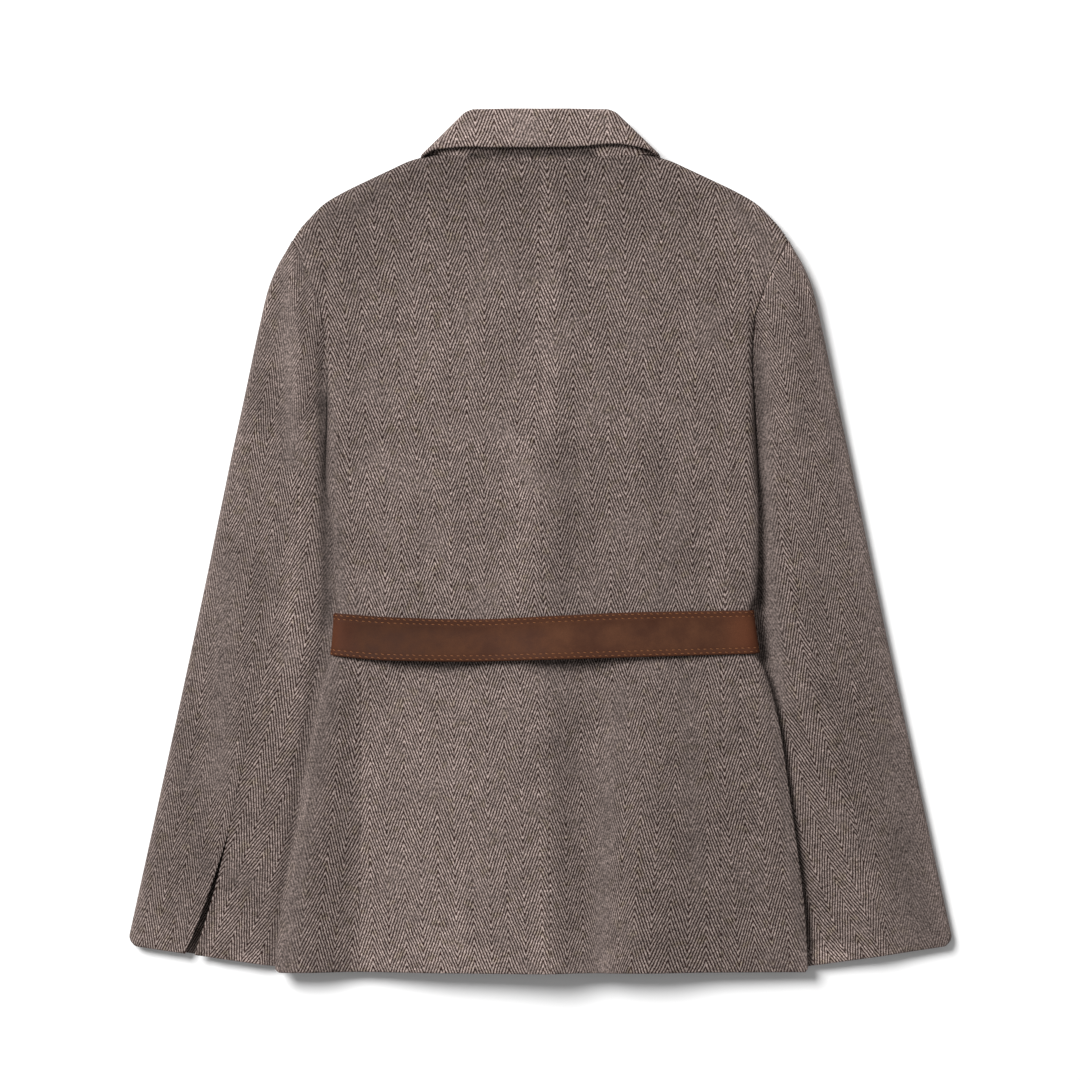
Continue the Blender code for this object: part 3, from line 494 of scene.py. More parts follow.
# Weave and fibres: how far the lines step, wander and drift, lengths along the yarn, and how much each shows
THREAD_STEP = 0.6
WANDER = 0.55
COLUMN_DRIFT = 1.1
COLUMN_APART = 7.3
DRIFT_LENGTH = 0.04
BEADS_ACROSS = 19.0
BEAD_LENGTH = 0.0021
FLOAT_LENGTH = 0.0034
YARN_UNEVEN = 1.2
FIBRE_MIX = 2.6
FIBRE_BUMP = 0.7
WEAVE_BUMP = 0.55
WEAVE_DEPTH = 0.0004
WOOL_SHEEN = 0.1
SOFT_FACE = {"Sheen_Roughness": 0.55, "Specular_IOR_Level": 0.15}

# Suede and thread
SUEDE_EDGE = 0.006
SUEDE_EDGE_SHARE = 0.8
SUEDE_BUMP = 0.4
SUEDE_DEPTH = 0.0003
SUEDE_SHEEN = 0.2
THREAD_TWIST_SCALE = 700.0
THREAD_BUMP = 0.5
THREAD_SPECULAR = 0.3

# Noises: features to a metre (or to one step of the place given), detail and roughness
WANDER_NOISE = (150.0, 2.0, 0.5)
DRIFT_NOISE = (1.0, 2.0, 0.5)
FLOAT_NOISE = (1.0, 1.0, 0.5)
BEAD_NOISE = (1.0, 2.0, 0.6)
FIBRE_NOISE = (620.0, 3.0, 0.7)
TINT_NOISE = (110.0, 1.0, 0.5)
PATCH_NOISE = (160.0, 2.0, 0.5)
WORN_NOISE = (28.0, 3.0, 0.5)
MOTTLE_NOISE = (30.0, 3.0, 0.5)
CLOUD_NOISE = (34.0, 4.0, 0.6)
SUEDE_NOISE = (1600.0, 3.0, 0.7)
THREAD_NOISE = (1600.0, 2.0, 0.5)
FLOOR_NOISE = (2.0, 2.0, 0.5)

# Ranges: a value's low and high end, and what these become
LINE_RANGE = (-0.5, 0.5, 0.0, 1.0)
BEAD_RANGE = (-0.17, 0.17, 0.5, 1.5)
TINT_RANGE = (0.56, 0.74, 0.0, 0.55)
NAP_RANGE = (-0.28, 0.28, 0.5, 1.5)
PATCH_RANGE = (0.3, 0.6, 0.75, 1.0)
WORN_RANGE = (0.5, 0.75, 0.05, 0.45)
MOTTLE_RANGE = (0.3, 0.7, 0.92, 1.08)
FLECK_RANGE = (0.25, 0.75, 0.86, 1.14)
FIBRE_RANGE = (-0.3, 0.3, 0.7, 1.3)
WOOL_ROUGHNESS = (-0.3, 0.3, 0.86, 0.98)
CLOUD_RANGE = (0.3, 0.7, 0.0, 1.0)
BELT_END_RANGE = (0.15, 0.18, 0.0, 0.45)
BELT_ALONG_RANGE = (-0.11, -0.03, 0.84, 1.07)
SUEDE_RANGE = (0.25, 0.75, 0.78, 1.22)
SUEDE_ROUGHNESS = (0.0, 1.0, 0.7, 0.86)
THREAD_RANGE = (0.3, 0.7, 0.8, 1.2)
TWIST_RANGE = (0.0, 1.0, 0.75, 1.1)
THREAD_ROUGHNESS = (0.8, 1.2, 0.5, 0.7)
FLOOR_RANGE = (0.0, 1.0, 0.99, 1.0)

# Places of the share, the two colours and the result among a colour mixer's sockets
MIX_INPUTS = (0, 6, 7)
MIX_OUTPUT = 2

# The flat size of each cut piece as width and length, its area, what it lies on, and its tone, partly painted
# light
Cut = namedtuple("Cut", "flat area rests_on tone")
CUTS = {
    "back": Cut((0.225, 0.72), 0.12, ["front"], 1.0),
    "side": Cut((0.11, 0.49), 0.034, ["front"], 0.97),
    "front": Cut((0.25, 0.71), 0.123, [], 1.0),
    "lapel": Cut((0.076, 0.165), 0.0074, ["front"], 1.0),
    "topsleeve": Cut((0.26, 0.66), 0.092, [], 0.97),
    "undersleeve": Cut((0.15, 0.62), 0.039, ["topsleeve"], 0.98),
    # The collar's face is painted lighter, partly to undo the painted shade over the upper back
    "collar": Cut((0.09, 0.4), 0.0166, ["back_left", "back_right"], 1.52),
    "belt": Cut((0.0376, 0.45), 0.0166, ["back_left", "back_right"], 1.0),
}


def mix(a, b, share):
    return a + (b - a) * share


def ease(share):
    """0 to 1 with level ends."""
    t = clamp(share)
    return t * t * (3 - 2 * t)


def arc(share):
    """The height share of a quarter-round edge at a share of its width in from the edge."""
    t = clamp(share)
    return np.sqrt(1 - (1 - t) ** 2)


def bell(away):
    """1 at 0, and less to both sides."""
    return np.exp(-(away**2))


def unit(vectors):
    return vectors / np.maximum(np.linalg.norm(vectors, axis=-1, keepdims=True), NO_LENGTH)


def point(x, y, z):
    return np.stack(np.broadcast_arrays(x, y, z), axis=-1)


def fold_in(length, width):
    """How far in from a folded edge a length of cloth reaches, and its height share: under 0 is below."""
    size = np.abs(length)
    angle = np.clip(size / np.maximum(width, TINY), 0.0, np.pi / 2)
    flat = np.maximum(size - width * np.pi / 2, 0.0)
    return width * (1 - np.cos(angle)) + flat, np.sign(length) * np.sin(angle)


def fold_length(reach, width):
    """The length of cloth from a folded edge to a distance in from it."""
    round_part = width * np.arccos(np.clip(1 - reach / np.maximum(width, TINY), -1.0, 1.0))
    return np.where(reach < width, round_part, reach - width + width * np.pi / 2)


def ring_length(column, above, below):
    """The length of cloth in from the side edge: 0 to 1 on the back, to 3 round the edge, to 4 below."""
    quarter = np.minimum(SIDE_ROUND * np.pi / 2, above * MOST_ROUND)
    on_back = mix(above, quarter, np.minimum(column, 1.0))
    on_edge = quarter * (2 - np.clip(column, 1.0, 3.0))
    under = -mix(quarter, below, column - 3)
    return np.where(column < 1, on_back, np.where(column > 3, under, on_edge))


def belt_middle(x):
    """The height of the belt's middle line on the back."""
    return (BELT.top(x) + BELT.bottom(x)) / 2


def back_line(side, y):
    """The back panel's outer edge: the side seam, then the armhole."""
    at_armhole = clamp((y - UNDERARM_Y) / (SIDE_SEAM_TOP_Y - UNDERARM_Y))
    return mix(SIDE_BACK_SEAM.x(y), SIDE_LINES[side](y) - SEAM_GAP, at_armhole)


def fold_height(x, y, fold):
    """The height of one of the back's largest folds."""
    down = (fold.top_y - y) / (fold.top_y - fold.bottom_y)
    middle = mix(fold.top_x, fold.bottom_x, down)
    return fold.height * ease((fold.top_y - y) / fold.fade) * bell((x - middle) / fold.width)


def back_height(side, x, y):
    """The top of the back, before its edges round off."""
    across = clamp(np.abs(x) / SIDE_LINES[side](y))
    to_neck = ease((y - SIDE_SEAM_TOP_Y) / (NECK_CENTRE_Y - SIDE_SEAM_TOP_Y))
    dip = BELT_DIP * bell((y - belt_middle(x)) / BELT_DIP_WIDTH)
    folds = sum(fold_height(x, y, fold) for fold in FOLDS)
    return BACK_EDGE_Z + BACK_CROWN * (1 - across**2) - NECK_DROP * to_neck + folds - dip


def front_height(side, x, y):
    """The underside of the fronts, before their edges round off."""
    from_edge = SIDE_LINES[side](y) - np.abs(x)
    beside_sleeve = EDGE.lift(y) * (1 - ease((from_edge - LIFT_FLAT) / LIFT_RAMP))
    from_neckline = side * x - NECK_LINE.x(y)
    over_lapel = LAYER_STEP * ease((LAPEL.raised(y) - from_neckline) / LAPEL_RAMP)
    over_lapel = over_lapel * (y > LAPEL_START_Y)
    over_right = 0.0
    if side == LEFT:
        over_right = LAYER_STEP * ease((x - NECK_LINE.x(y) + OVERLAP_MARGIN) / OVERLAP_RAMP)
    return np.maximum(np.maximum(beside_sleeve, over_lapel), over_right)


def edge_height(side, y):
    """The height of the body's outermost edge."""
    return back_height(side, side * SIDE_LINES[side](y), y) - EDGE.curl(y)


def body_ring(side, length, y):
    """The body's surface at a length of cloth in from its side edge: over 0 on the back, under 0 below."""
    inward, turn = fold_in(length, SIDE_ROUND)
    x = side * (SIDE_LINES[side](y) - inward)
    edge = edge_height(side, y)
    above = mix(edge, back_height(side, x, y), turn)
    below = mix(edge, front_height(side, x, y), -turn)
    return point(x, y, np.where(length >= 0, above, below))


def shoulder_row(row, share, first_x):
    """The shoulder's place over a column, and a row's distance and turn below it."""
    top_x = mix(first_x, SHOULDER_X, share)
    fade = ease((top_x - NECK_X) / NECK_FADE)
    width = SHOULDER_ROUND * fade + TINY
    full = fold_length(TOP_LINE.y(top_x) - HEM_Y, width)
    below, turn = fold_in(mix(full, SEAM_GAP, row), width)
    return TOP_LINE.y(top_x) - below, turn, fade


def back_surface(side, row, column):
    """Rows go from the hem to the neck and shoulder, columns from the centre seam outward."""
    y, turn, fade = shoulder_row(row, column, 0.0)
    outer_y, _, _ = shoulder_row(row, np.ones_like(column), 0.0)
    inner_x = CENTRE_SEAM.x(y) + side * SEAM_GAP / 2
    x = mix(inner_x, side * back_line(side, outer_y), column)
    from_edge = SIDE_LINES[side](y) - np.abs(x)
    z = mix(edge_height(side, y), back_height(side, x, y), arc(from_edge / SIDE_ROUND))
    ridge = mix(z, SHOULDER_MID_Z, fade)
    return point(x, y, mix(ridge, z, turn))


def front_surface(side, row, column):
    """Rows go from the hem to the shoulder, columns from the front edge outward."""
    y, turn, fade = shoulder_row(row, column, NECK_X)
    y = y - FRONT_NECK_DROP * ease((COLLAR_CLEAR_X - mix(NECK_X, SHOULDER_X, column)) / NECK_FADE) * row
    outer_y, _, _ = shoulder_row(row, np.ones_like(column), NECK_X)
    inset = SIDE_FRONT_INSET * (1 - ease((outer_y - UNDERARM_Y) / UNDERARM_STEP))
    outer_x = SIDE_LINES[side](outer_y) - SEAM_GAP
    x = side * (mix(NECK_LINE.x(y), outer_x, column) - inset * column**INSET_POWER)
    z = front_height(side, x, y)
    ridge = mix(z, SHOULDER_MID_Z, fade)
    return point(x, y, mix(ridge, z, turn))


def side_surface(side, y, column):
    """Rows are heights from the hem up; columns go from the back seam (0) round to the front seam (4)."""
    above = fold_length(SIDE_LINES[side](y) - back_line(side, y) - SEAM_GAP, SIDE_ROUND)
    below = fold_length(SIDE_FRONT_INSET, SIDE_ROUND)
    return body_ring(side, ring_length(column, above, below), y)


def lapel_surface(side, row, column):
    """A flat lapel on the surface, from its roll line outward."""
    y = mix(LAPEL_BOTTOM_Y, LAPEL_TOP_Y, row)
    x = NECK_LINE.x(y) + SEAM_GAP + LAPEL.width(y) * column
    return point(side * x, y, 0.0)


def sleeve_line(side, row):
    """The outer and inner end of one straight line across the sleeve."""
    outer_y = mix(SLEEVE_HEAD_Y, CUFF_OUTER_Y, row)
    inner_y = mix(SLEEVE_HEAD_Y, CUFF_INNER_Y, row)
    inner_x = SIDE_LINES[side](inner_y) - SLEEVE.under(inner_y)
    return SLEEVE.outer(outer_y), outer_y, inner_x, inner_y


def sleeve_point(side, row, share, turn):
    """A point of the sleeve at a share of its width in from the outer edge; turn is 1 on top, -1 below."""
    outer_x, outer_y, inner_x, inner_y = sleeve_line(side, row)
    arch = np.abs(4 * share * (1 - share)) ** SLEEVE_CROWN_POWER
    crown = SLEEVE_CROWN * ease(row / SLEEVE_CROWN_FADE) * arch
    top = mix(SLEEVE.outer_z(outer_y), SLEEVE.inner_z(inner_y), share) + crown
    return point(side * mix(outer_x, inner_x, share), mix(outer_y, inner_y, share), top * (1 + turn) / 2)


def sleeve_width(side, row):
    outer_x, outer_y, inner_x, inner_y = sleeve_line(side, row)
    return np.hypot(outer_x - inner_x, outer_y - inner_y)


def vent_gap(side, row):
    """Half the gap at the elbow seam, which opens into the vent on the left sleeve."""
    opening = VENT_WIDTH * clamp((row - VENT_TOP_ROW) / (1 - VENT_TOP_ROW))
    return (SEAM_GAP + opening * (side == LEFT)) / 2


def sleeve_ring(column, seam, round_share, front_seam):
    """Shares in from a sleeve's edge, and the turn. Columns: 0 elbow seam, 1 to 2 the edge, 3 front seam."""
    angle = np.pi * clamp(column - 1)
    above = mix(seam, round_share, column)
    below = mix(round_share, front_seam, column - 2)
    share = np.where(column < 1, above, np.where(column > 2, below, round_share * (1 - np.sin(angle))))
    return share, np.cos(angle)


def topsleeve_surface(side, row, column):
    """The sleeve's half at its outer edge, which reaches less far round past the underarm."""
    width = sleeve_width(side, row)
    round_share = np.minimum(SLEEVE_ROUND / width, MOST_SLEEVE_ROUND)
    seam = ELBOW_SEAM.share(row) - vent_gap(side, row) / width
    past_underarm = np.where(mix(SLEEVE_HEAD_Y, CUFF_INNER_Y, row) < UNDERARM_Y, 1.0, 0.0)
    front_seam = 1 - mix(SEAM_GAP, FOREARM_INSET, past_underarm) / width
    share, turn = sleeve_ring(column, seam, round_share, front_seam)
    return sleeve_point(side, row, share, turn)


def undersleeve_surface(side, row, column):
    """The sleeve's half at its inner edge, where its fold grows from the armhole down."""
    width = sleeve_width(side, row)
    inner_y = mix(SLEEVE_HEAD_Y, CUFF_INNER_Y, row)
    round_share = ease((FOLD_TOP_Y - inner_y) / (FOLD_TOP_Y - FOLD_FULL_Y)) * SLEEVE_ROUND / width
    seam = ELBOW_SEAM.share(row) + vent_gap(side, row) / width
    inward, turn = sleeve_ring(column, 1 - seam, round_share, (FOREARM_INSET - SEAM_GAP) / width)
    return sleeve_point(side, row, 1 - inward, turn)


def neck_seam(side, part):
    """The back's neck seam, so far down that the stand sewn on there is flush with the back."""
    share = np.minimum(part, STAND_SEWN + STAND_TURN) * COLLAR_SIDE_X / SHOULDER_X
    left, right = (back_surface(each, np.ones_like(share), share) for each in (LEFT, RIGHT))
    return np.where((side < 0)[..., None], left, right) - COLLAR_CLOTH * UP


def collar_surface(row, column):
    """Rows: 0 free edge, 1 to 2 the roll, 3 neck seam. Columns: 0 centre back, 3 and -3 the ends below."""
    side = np.sign(column)
    part = np.abs(column)
    line = {name: value(part) for name, value in COLLAR._asdict().items()}
    angle = np.pi * clamp(part - 1)
    level = COLLAR_TOP_Z * (1 + np.cos(angle)) / 2
    waved_y = line["free_y"] + COLLAR_WAVE.rise(side * line["free_x"]) * ease(COLLAR_FLARE_END + 1 - part)
    free = point(side * line["free_x"], waved_y, level)
    roll = point(side * line["roll_x"], line["roll_y"], level)
    up = unit(roll - free)
    outward = point(side * up[..., 1], -side * up[..., 0], 0.0)
    inward = -np.sin(angle)[..., None] * outward - np.cos(angle)[..., None] * UP
    fall = np.clip(row, None, 1.0)
    flare = COLLAR_FLARE * (1 - fall) * ease(COLLAR_FLARE_END - part)
    points = mix(free, roll, fall[..., None]) + flare[..., None] * UP
    bend = np.pi * clamp(row - 1)
    points = points + (COLLAR_ROLL * (1 - np.cos(bend)))[..., None] * inward
    points = points + (COLLAR_ROLL * np.sin(bend))[..., None] * up
    stand = np.clip(row - 2, 0.0, None)
    free_stand = points - (stand * line["stand"])[..., None] * up
    sewn_stand = mix(points, neck_seam(side, part), stand[..., None])
    sewn = 1 - ease((part - STAND_SEWN) / STAND_TURN)
    return mix(free_stand, sewn_stand, sewn[..., None])


def under_belt(side, row, column):
    """The body's points under half of the belt. Columns: 0 centre back, 2 the side edge, 4 the end below."""
    edge_x = SIDE_LINES[side](belt_middle(0.0))
    length = ring_length(column, fold_length(edge_x, SIDE_ROUND), fold_length(BELT_UNDER, SIDE_ROUND))
    x = side * np.maximum(edge_x - fold_in(length, SIDE_ROUND)[0], 0.0)
    y = mix(BELT.bottom(x), BELT.top(x), row)
    points = body_ring(side, length, y)
    straight = 1 - clamp(column / BELT_STRAIGHT)
    points[..., 0] -= side * (SIDE_LINES[side](y) - edge_x) * straight
    return points


def surface_normal(surface, row, column):
    along_row = surface(row + STEP, column) - surface(row - STEP, column)
    along_column = surface(row, column + STEP) - surface(row, column - STEP)
    return unit(np.cross(along_row, along_column))


def belt_surface(row, column):
    """The body's points under the belt, moved out; columns over 0 are the right half."""
    halves = {}
    part = np.abs(column)
    for side in (LEFT, RIGHT):
        below = partial(under_belt, side)
        normal = -side * surface_normal(below, row, part)
        halves[side] = below(row, part) + normal * (BELT_GAP + LEATHER)
    return np.where((column < 0)[..., None], halves[LEFT], halves[RIGHT])


def middles(values):
    return (values[1:] + values[:-1]) / 2


def both_ways(columns):
    """Columns from the centre outward, and the same to the left."""
    return np.concatenate([-columns[:0:-1], columns])


def grid(rows, columns):
    return np.meshgrid(rows, columns, indexing="ij")


def shoulder_share(y):
    """The row of a front or back whose outer end is at a height."""
    full = fold_length(SHOULDER_Y - HEM_Y, SHOULDER_ROUND)
    return 1 - fold_length(SHOULDER_Y - y, SHOULDER_ROUND) / full


def spread(start, stop, length, cell, fine_start=False, fine_stop=False):
    """Places from start to stop along a length in metres, a cell apart, and closer at the ends asked for."""
    steps = np.linspace(0.0, length, max(int(round(length / cell)), 1) + 1)
    if fine_start:
        steps = np.concatenate([EDGE_STEPS, steps[steps >= EDGE_REACH]])
    if fine_stop:
        steps = np.concatenate([steps[steps <= length - EDGE_REACH], length - np.array(EDGE_STEPS)[::-1]])
    return mix(start, stop, steps / length)


def runs(ends, first, bend, last, cell=FINE_CELL, bend_cell=ROUND_CELL, fine_start=True):
    """Places on two flat runs and the bend between them: the four ends' numbers, and the runs' lengths."""
    start = spread(ends[0], ends[1], first, cell, fine_start)
    middle = spread(ends[1], ends[2], bend, bend_cell)
    stop = spread(ends[2], ends[3], last, cell, False, True)
    return np.concatenate([start, middle[1:], stop[1:]])


def along_line(x, y, line):
    """For places seen from above: the share along a line, the distance to its side, and the line's length."""
    along_x, along_y = line.end_x - line.start_x, line.end_y - line.start_y
    length = np.hypot(along_x, along_y)
    share = ((x - line.start_x) * along_x + (y - line.start_y) * along_y) / length**2
    away = ((x - line.start_x) * along_y - (y - line.start_y) * along_x) / length
    return share, away, length


def crease_height(x, y, crease):
    share, away, _ = along_line(x, y, crease)
    ends = ease(share / crease.fade + 1) * ease((1 - share) / crease.fade + 1)
    return crease.height * ends * bell(away / crease.width)


def all_creases(x, y, creases):
    """The height of all creases of a table at places seen from above."""
    return sum(crease_height(x, y, crease) for crease in creases)


def body_crease_height(x, y):
    """The height of the body's creases and of its skirt, with none under the belt."""
    clear = ease((np.abs(y - belt_middle(x)) - BELT_CLEAR) / BELT_FADE)
    skirt = ease((SKIRT_TOP_Y - y) / SKIRT_FADE) * SKIRT_LIE.height(x)
    return clear * (all_creases(x, y, BACK_CREASES) + skirt)


def loose_height(points):
    """Slow unevenness of loose cloth, the same each time."""
    flat = points.reshape(-1, 3)[:, :2] / LOOSE_SIZE
    values = [noise.noise(Vector((x, y, 0.0))) for x, y in flat.tolist()]
    return LOOSE_HEIGHT * np.array(values).reshape(points.shape[:-1])


def near_line(x, y, line):
    """1 on a line and less away from it, for places seen from above."""
    share, away, length = along_line(x, y, line)
    past = (share - clamp(share)) * length
    return bell(np.hypot(away, past) / line.width)


def nap_strength(x, y):
    """How far brushed fibres hide the weave, 0 to 1."""
    return np.max([line.strength * near_line(x, y, line) for line in NAP_LINES], axis=0)


def painted_light_and_shade(x, y):
    """How much painted light and shade make the cloth lighter or darker: 1 is unchanged."""
    return 1 + sum(line.strength * near_line(x, y, line) for line in PAINTED_LIGHT_AND_SHADE_LINES)


def grid_lengths(points, axis):
    """The length along the grid from its first place, in one way."""
    steps = np.linalg.norm(np.diff(points, axis=axis), axis=-1)
    first = np.zeros_like(np.take(steps, [0], axis=axis))
    return np.concatenate([first, np.cumsum(steps, axis=axis)], axis=axis)


def grid_normal(points):
    return unit(np.cross(np.gradient(points, axis=0), np.gradient(points, axis=1)))


def edge_turn(points, edges):
    """Shares of the thickness by which the outer and inner face turn in at the grid's rounded edges."""
    outer, inner = np.zeros((2, *points.shape[:-1]))
    for axis, (first, last) in enumerate(edges):
        length = grid_lengths(points, axis)
        whole = np.take(length, [-1], axis=axis)
        for edge, away in ((first, length), (last, whole - length)):
            turn = 1 - arc(away / edge.width)
            outer = np.maximum(outer, edge.outer * turn)
            inner = np.maximum(inner, edge.inner * turn)
    return outer, inner


def rounded_corner(first, second, radius):
    """How far places move in from two edges that meet, so that the corner between them is round."""
    p = clamp(1 - first / radius)
    q = clamp(1 - second / radius)
    near = (p > 0) & (q > 0)
    moved_first = radius * (1 - p * np.sqrt(1 - q * q / 2))
    moved_second = radius * (1 - q * np.sqrt(1 - p * p / 2))
    return np.where(near, moved_first - first, 0.0), np.where(near, moved_second - second, 0.0)


def add_object(name, data):
    item = bpy.data.objects.new(name, data)
    bpy.context.scene.collection.objects.link(item)
    return item


def add_mesh(name, places, faces, material):
    mesh = bpy.data.meshes.new(name)
    mesh.from_pydata(places.tolist(), [], faces)
    mesh.shade_smooth()
    mesh.materials.append(material)
    return mesh


def shell(name, material, thickness, tone, points, facing, grain, edges, keep=None, nap=None):
    """A closed thin shell on a grid of points, which are its outer face; keep says which cells it has."""
    normal = grid_normal(points) * facing
    outer_turn, inner_turn = edge_turn(points, edges)
    outer = points - normal * (thickness * outer_turn)[..., None]
    inner = points - normal * (thickness * (1 - inner_turn))[..., None]
    count = points[..., 0].size
    number = np.arange(count).reshape(points.shape[:-1])
    corners = np.stack([number[:-1, :-1], number[1:, :-1], number[1:, 1:], number[:-1, 1:]], axis=-1)
    corners = corners.reshape(-1, 4) if keep is None else corners[keep]
    corners = corners[:, ::facing]
    first, second = corners.ravel(), np.roll(corners, -1, axis=1).ravel()
    border = ~np.isin(first * count + second, second * count + first)
    first, second = first[border], second[border]
    rim = np.stack([second, first, first + count, second + count], axis=-1)
    faces = np.concatenate([corners, corners[:, ::-1] + count, rim])
    used, place = np.unique(faces, return_inverse=True)
    faces = place.reshape(faces.shape)

    def on_faces(outside, inside):
        """What the grid's places have on the outer and inner face, for the places that are used."""
        return np.stack([outside, inside]).reshape(2 * count, -1)[used]

    mesh = add_mesh(name, on_faces(outer, inner), faces.tolist(), material)
    mesh.set_sharp_from_angle(angle=SHARP_ANGLE)
    pattern = np.stack(grain, axis=-1)
    pattern = on_faces(pattern, pattern)[faces.ravel()]
    mesh.uv_layers.new(name="grain").data.foreach_set("uv", pattern.astype(np.float32).ravel())
    x, y = points[..., 0], points[..., 1]
    # The tone layer carries painted light and shade: painted shadows under collar and belt, lightened rims
    layers = {"nap": nap_strength(x, y) if nap is None else nap, "tone": tone * painted_light_and_shade(x, y)}
    for layer, values in layers.items():
        values = on_faces(values, values).astype(np.float32).ravel()
        mesh.attributes.new(layer, "FLOAT", "POINT").data.foreach_set("value", values)
    return add_object(name + "_cloth", mesh)


def cloth(name, cut, form, thickness, material, rests_on):
    """A shell in place of the CAD part of the same name, which is hidden."""
    piece = shell(name, material, thickness, cut.tone, *form)
    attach(piece, "root")
    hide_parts(name)
    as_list(rests_on)


def line_grain(x, y, line, pair):
    """Column count and length along the columns, where one column's point follows a line."""
    heights = np.arange(HEM_Y - GRAIN_STEP, NECK_POINT_Y + GRAIN_STEP, GRAIN_STEP)
    slope = np.gradient(line(heights), GRAIN_STEP)
    lean = np.interp(y, heights, slope)
    length = np.interp(y, heights, np.cumsum(np.hypot(1.0, slope)) * GRAIN_STEP)
    away = x - line(y)
    return away / pair, length + away * lean / np.hypot(1.0, lean)


def unrolled(points, way):
    """X at the grid's first column, and from there the length of cloth along the rows, one way."""
    return points[:, :1, 0] + way * grid_lengths(points, 1)


def unrolled_up(points):
    """Y at the grid's first row, and from there the length of cloth up the columns, seen from the side."""
    return points[:1, :, 1] + grid_lengths(points[..., 1:], 0)


def back(side):
    rows = spread(0.0, 1.0, SHOULDER_Y - HEM_Y, FINE_CELL, True, True)
    columns = spread(0.0, 1.0, SIDE_BACK_SEAM.x(0.0), FINE_CELL, True, True)
    points = back_surface(side, *grid(rows, columns))
    x, y = points[..., 0], points[..., 1]
    points[..., 2] += body_crease_height(x, y) + loose_height(points)
    first = getattr(BACK_GRAIN, WORD[side])(y)
    pair = getattr(BACK_GRAIN, WORD[side] + "_pair")(y)
    crowd = SKIRT_CROWD.shift(x) * np.maximum((CROWD_TOP_Y - y) / CROWD_RUN, 0.0)
    grain = ((x + crowd - first) / pair, unrolled_up(points))
    return points, -side, grain, ((HEM_EDGE, SEAM_EDGE), (SEAM_EDGE, SEAM_EDGE))


def front(side):
    step = shoulder_share(UNDERARM_Y + UNDERARM_STEP)
    underarm = shoulder_share(UNDERARM_Y)
    rows = np.concatenate([
        spread(0.0, underarm, UNDERARM_Y - HEM_Y, PLAIN_CELL, True),
        spread(step, 1.0, SHOULDER_Y - UNDERARM_Y, PLAIN_CELL, False, True),
    ])
    columns = spread(0.0, 1.0, SIDE_BACK_SEAM.x(0.0), PLAIN_CELL, True, True)
    points = front_surface(side, *grid(rows, columns))
    x, y = points[..., 0], points[..., 1]
    points[..., 2] += all_creases(x, y, FRONT_CREASES)
    grain = ((x - side * FRONT_GRAIN_X) / FRONT_PAIR, unrolled_up(points))
    return points, side, grain, ((HEM_EDGE, SEAM_EDGE), (HEM_EDGE, SEAM_EDGE))


def lapel(side):
    rows = spread(0.0, 1.0, LAPEL_TOP_Y - LAPEL_BOTTOM_Y, PLAIN_CELL, True, True)
    columns = spread(0.0, 1.0, LAPEL_WIDTH, PLAIN_CELL, True, True)
    points = lapel_surface(side, *grid(rows, columns))
    grain = ((points[..., 0] - side * FRONT_GRAIN_X) / FRONT_PAIR, points[..., 1])
    return points, side, grain, ((HEM_EDGE, HEM_EDGE), (SEAM_EDGE, HEM_EDGE))


def side_panel(side):
    rows = np.concatenate([
        spread(HEM_Y, UNDERARM_Y - SEAM_GAP, UNDERARM_Y - HEM_Y, FINE_CELL, True),
        spread(UNDERARM_Y, SIDE_PANEL_TOP_Y, SIDE_PANEL_TOP_Y - UNDERARM_Y, FINE_CELL),
    ])
    columns = runs(SIDE_ENDS, SIDE_FRONT_INSET, SIDE_ROUND * np.pi, SIDE_FRONT_INSET)
    row, column = grid(rows, columns)
    points = side_surface(side, row, column)
    x, y = points[..., 0], points[..., 1]
    points[..., 2] += ease(SIDE_MIDDLE - column) * (body_crease_height(x, y) + loose_height(points))
    inward, upward = rounded_corner(SIDE_LINES[side](y) - np.abs(x), y - HEM_Y, HEM_CORNER)
    grain_x = unrolled(points, side)
    points[..., 0] -= side * inward
    points[..., 1] += upward
    keep = (middles(rows) < UNDERARM_Y - SEAM_GAP)[:, None] | (middles(columns) < SIDE_MIDDLE)
    grain = line_grain(grain_x, y, SIDE_GRAIN[side].x, SIDE_PAIR[side])
    return points, -side, grain, ((HEM_EDGE, SEAM_EDGE), (SEAM_EDGE, SEAM_EDGE)), keep


def sleeve_grid(surface, start, above, below):
    """A sleeve piece of given widths above and below: its rows, points, and cells without the armhole."""
    underarm = (SLEEVE_HEAD_Y - UNDERARM_Y) / SLEEVE_LENGTH
    rows = np.concatenate([
        spread(start, underarm - SEAM_GAP, (underarm - start) * SLEEVE_LENGTH, FINE_CELL, True),
        spread(underarm + SEAM_GAP, 1.0, (1 - underarm) * SLEEVE_LENGTH, FINE_CELL, False, True),
    ])
    columns = runs(BEND_ENDS, above, SLEEVE_ROUND * np.pi, below)
    row, column = grid(rows, columns)
    points = surface(row, column)
    creases = all_creases(points[..., 0], points[..., 1], SLEEVE_CREASES)
    points[..., 2] += ease(BEND_STOP - column) * (creases + loose_height(points))
    keep = (middles(rows) > underarm)[:, None] | (middles(columns) < BEND_MIDDLE)
    return row, points, keep


def round_cuff(side, row, points):
    """Makes the cuff's outer corner round."""
    outer_x, outer_y, inner_x, inner_y = sleeve_line(side, row)
    along = (side * points[..., 0] - outer_x) * (inner_x - outer_x)
    along = along + (points[..., 1] - outer_y) * (inner_y - outer_y)
    from_edge = along / sleeve_width(side, row)
    inward, upward = rounded_corner(from_edge, (1 - row) * SLEEVE_LENGTH, CUFF_CORNER)
    lean = (SLEEVE.outer(CUFF_OUTER_Y) - SLEEVE.outer(0.0)) / CUFF_OUTER_Y
    points[..., 0] -= side * (inward - upward * lean)
    points[..., 1] += upward


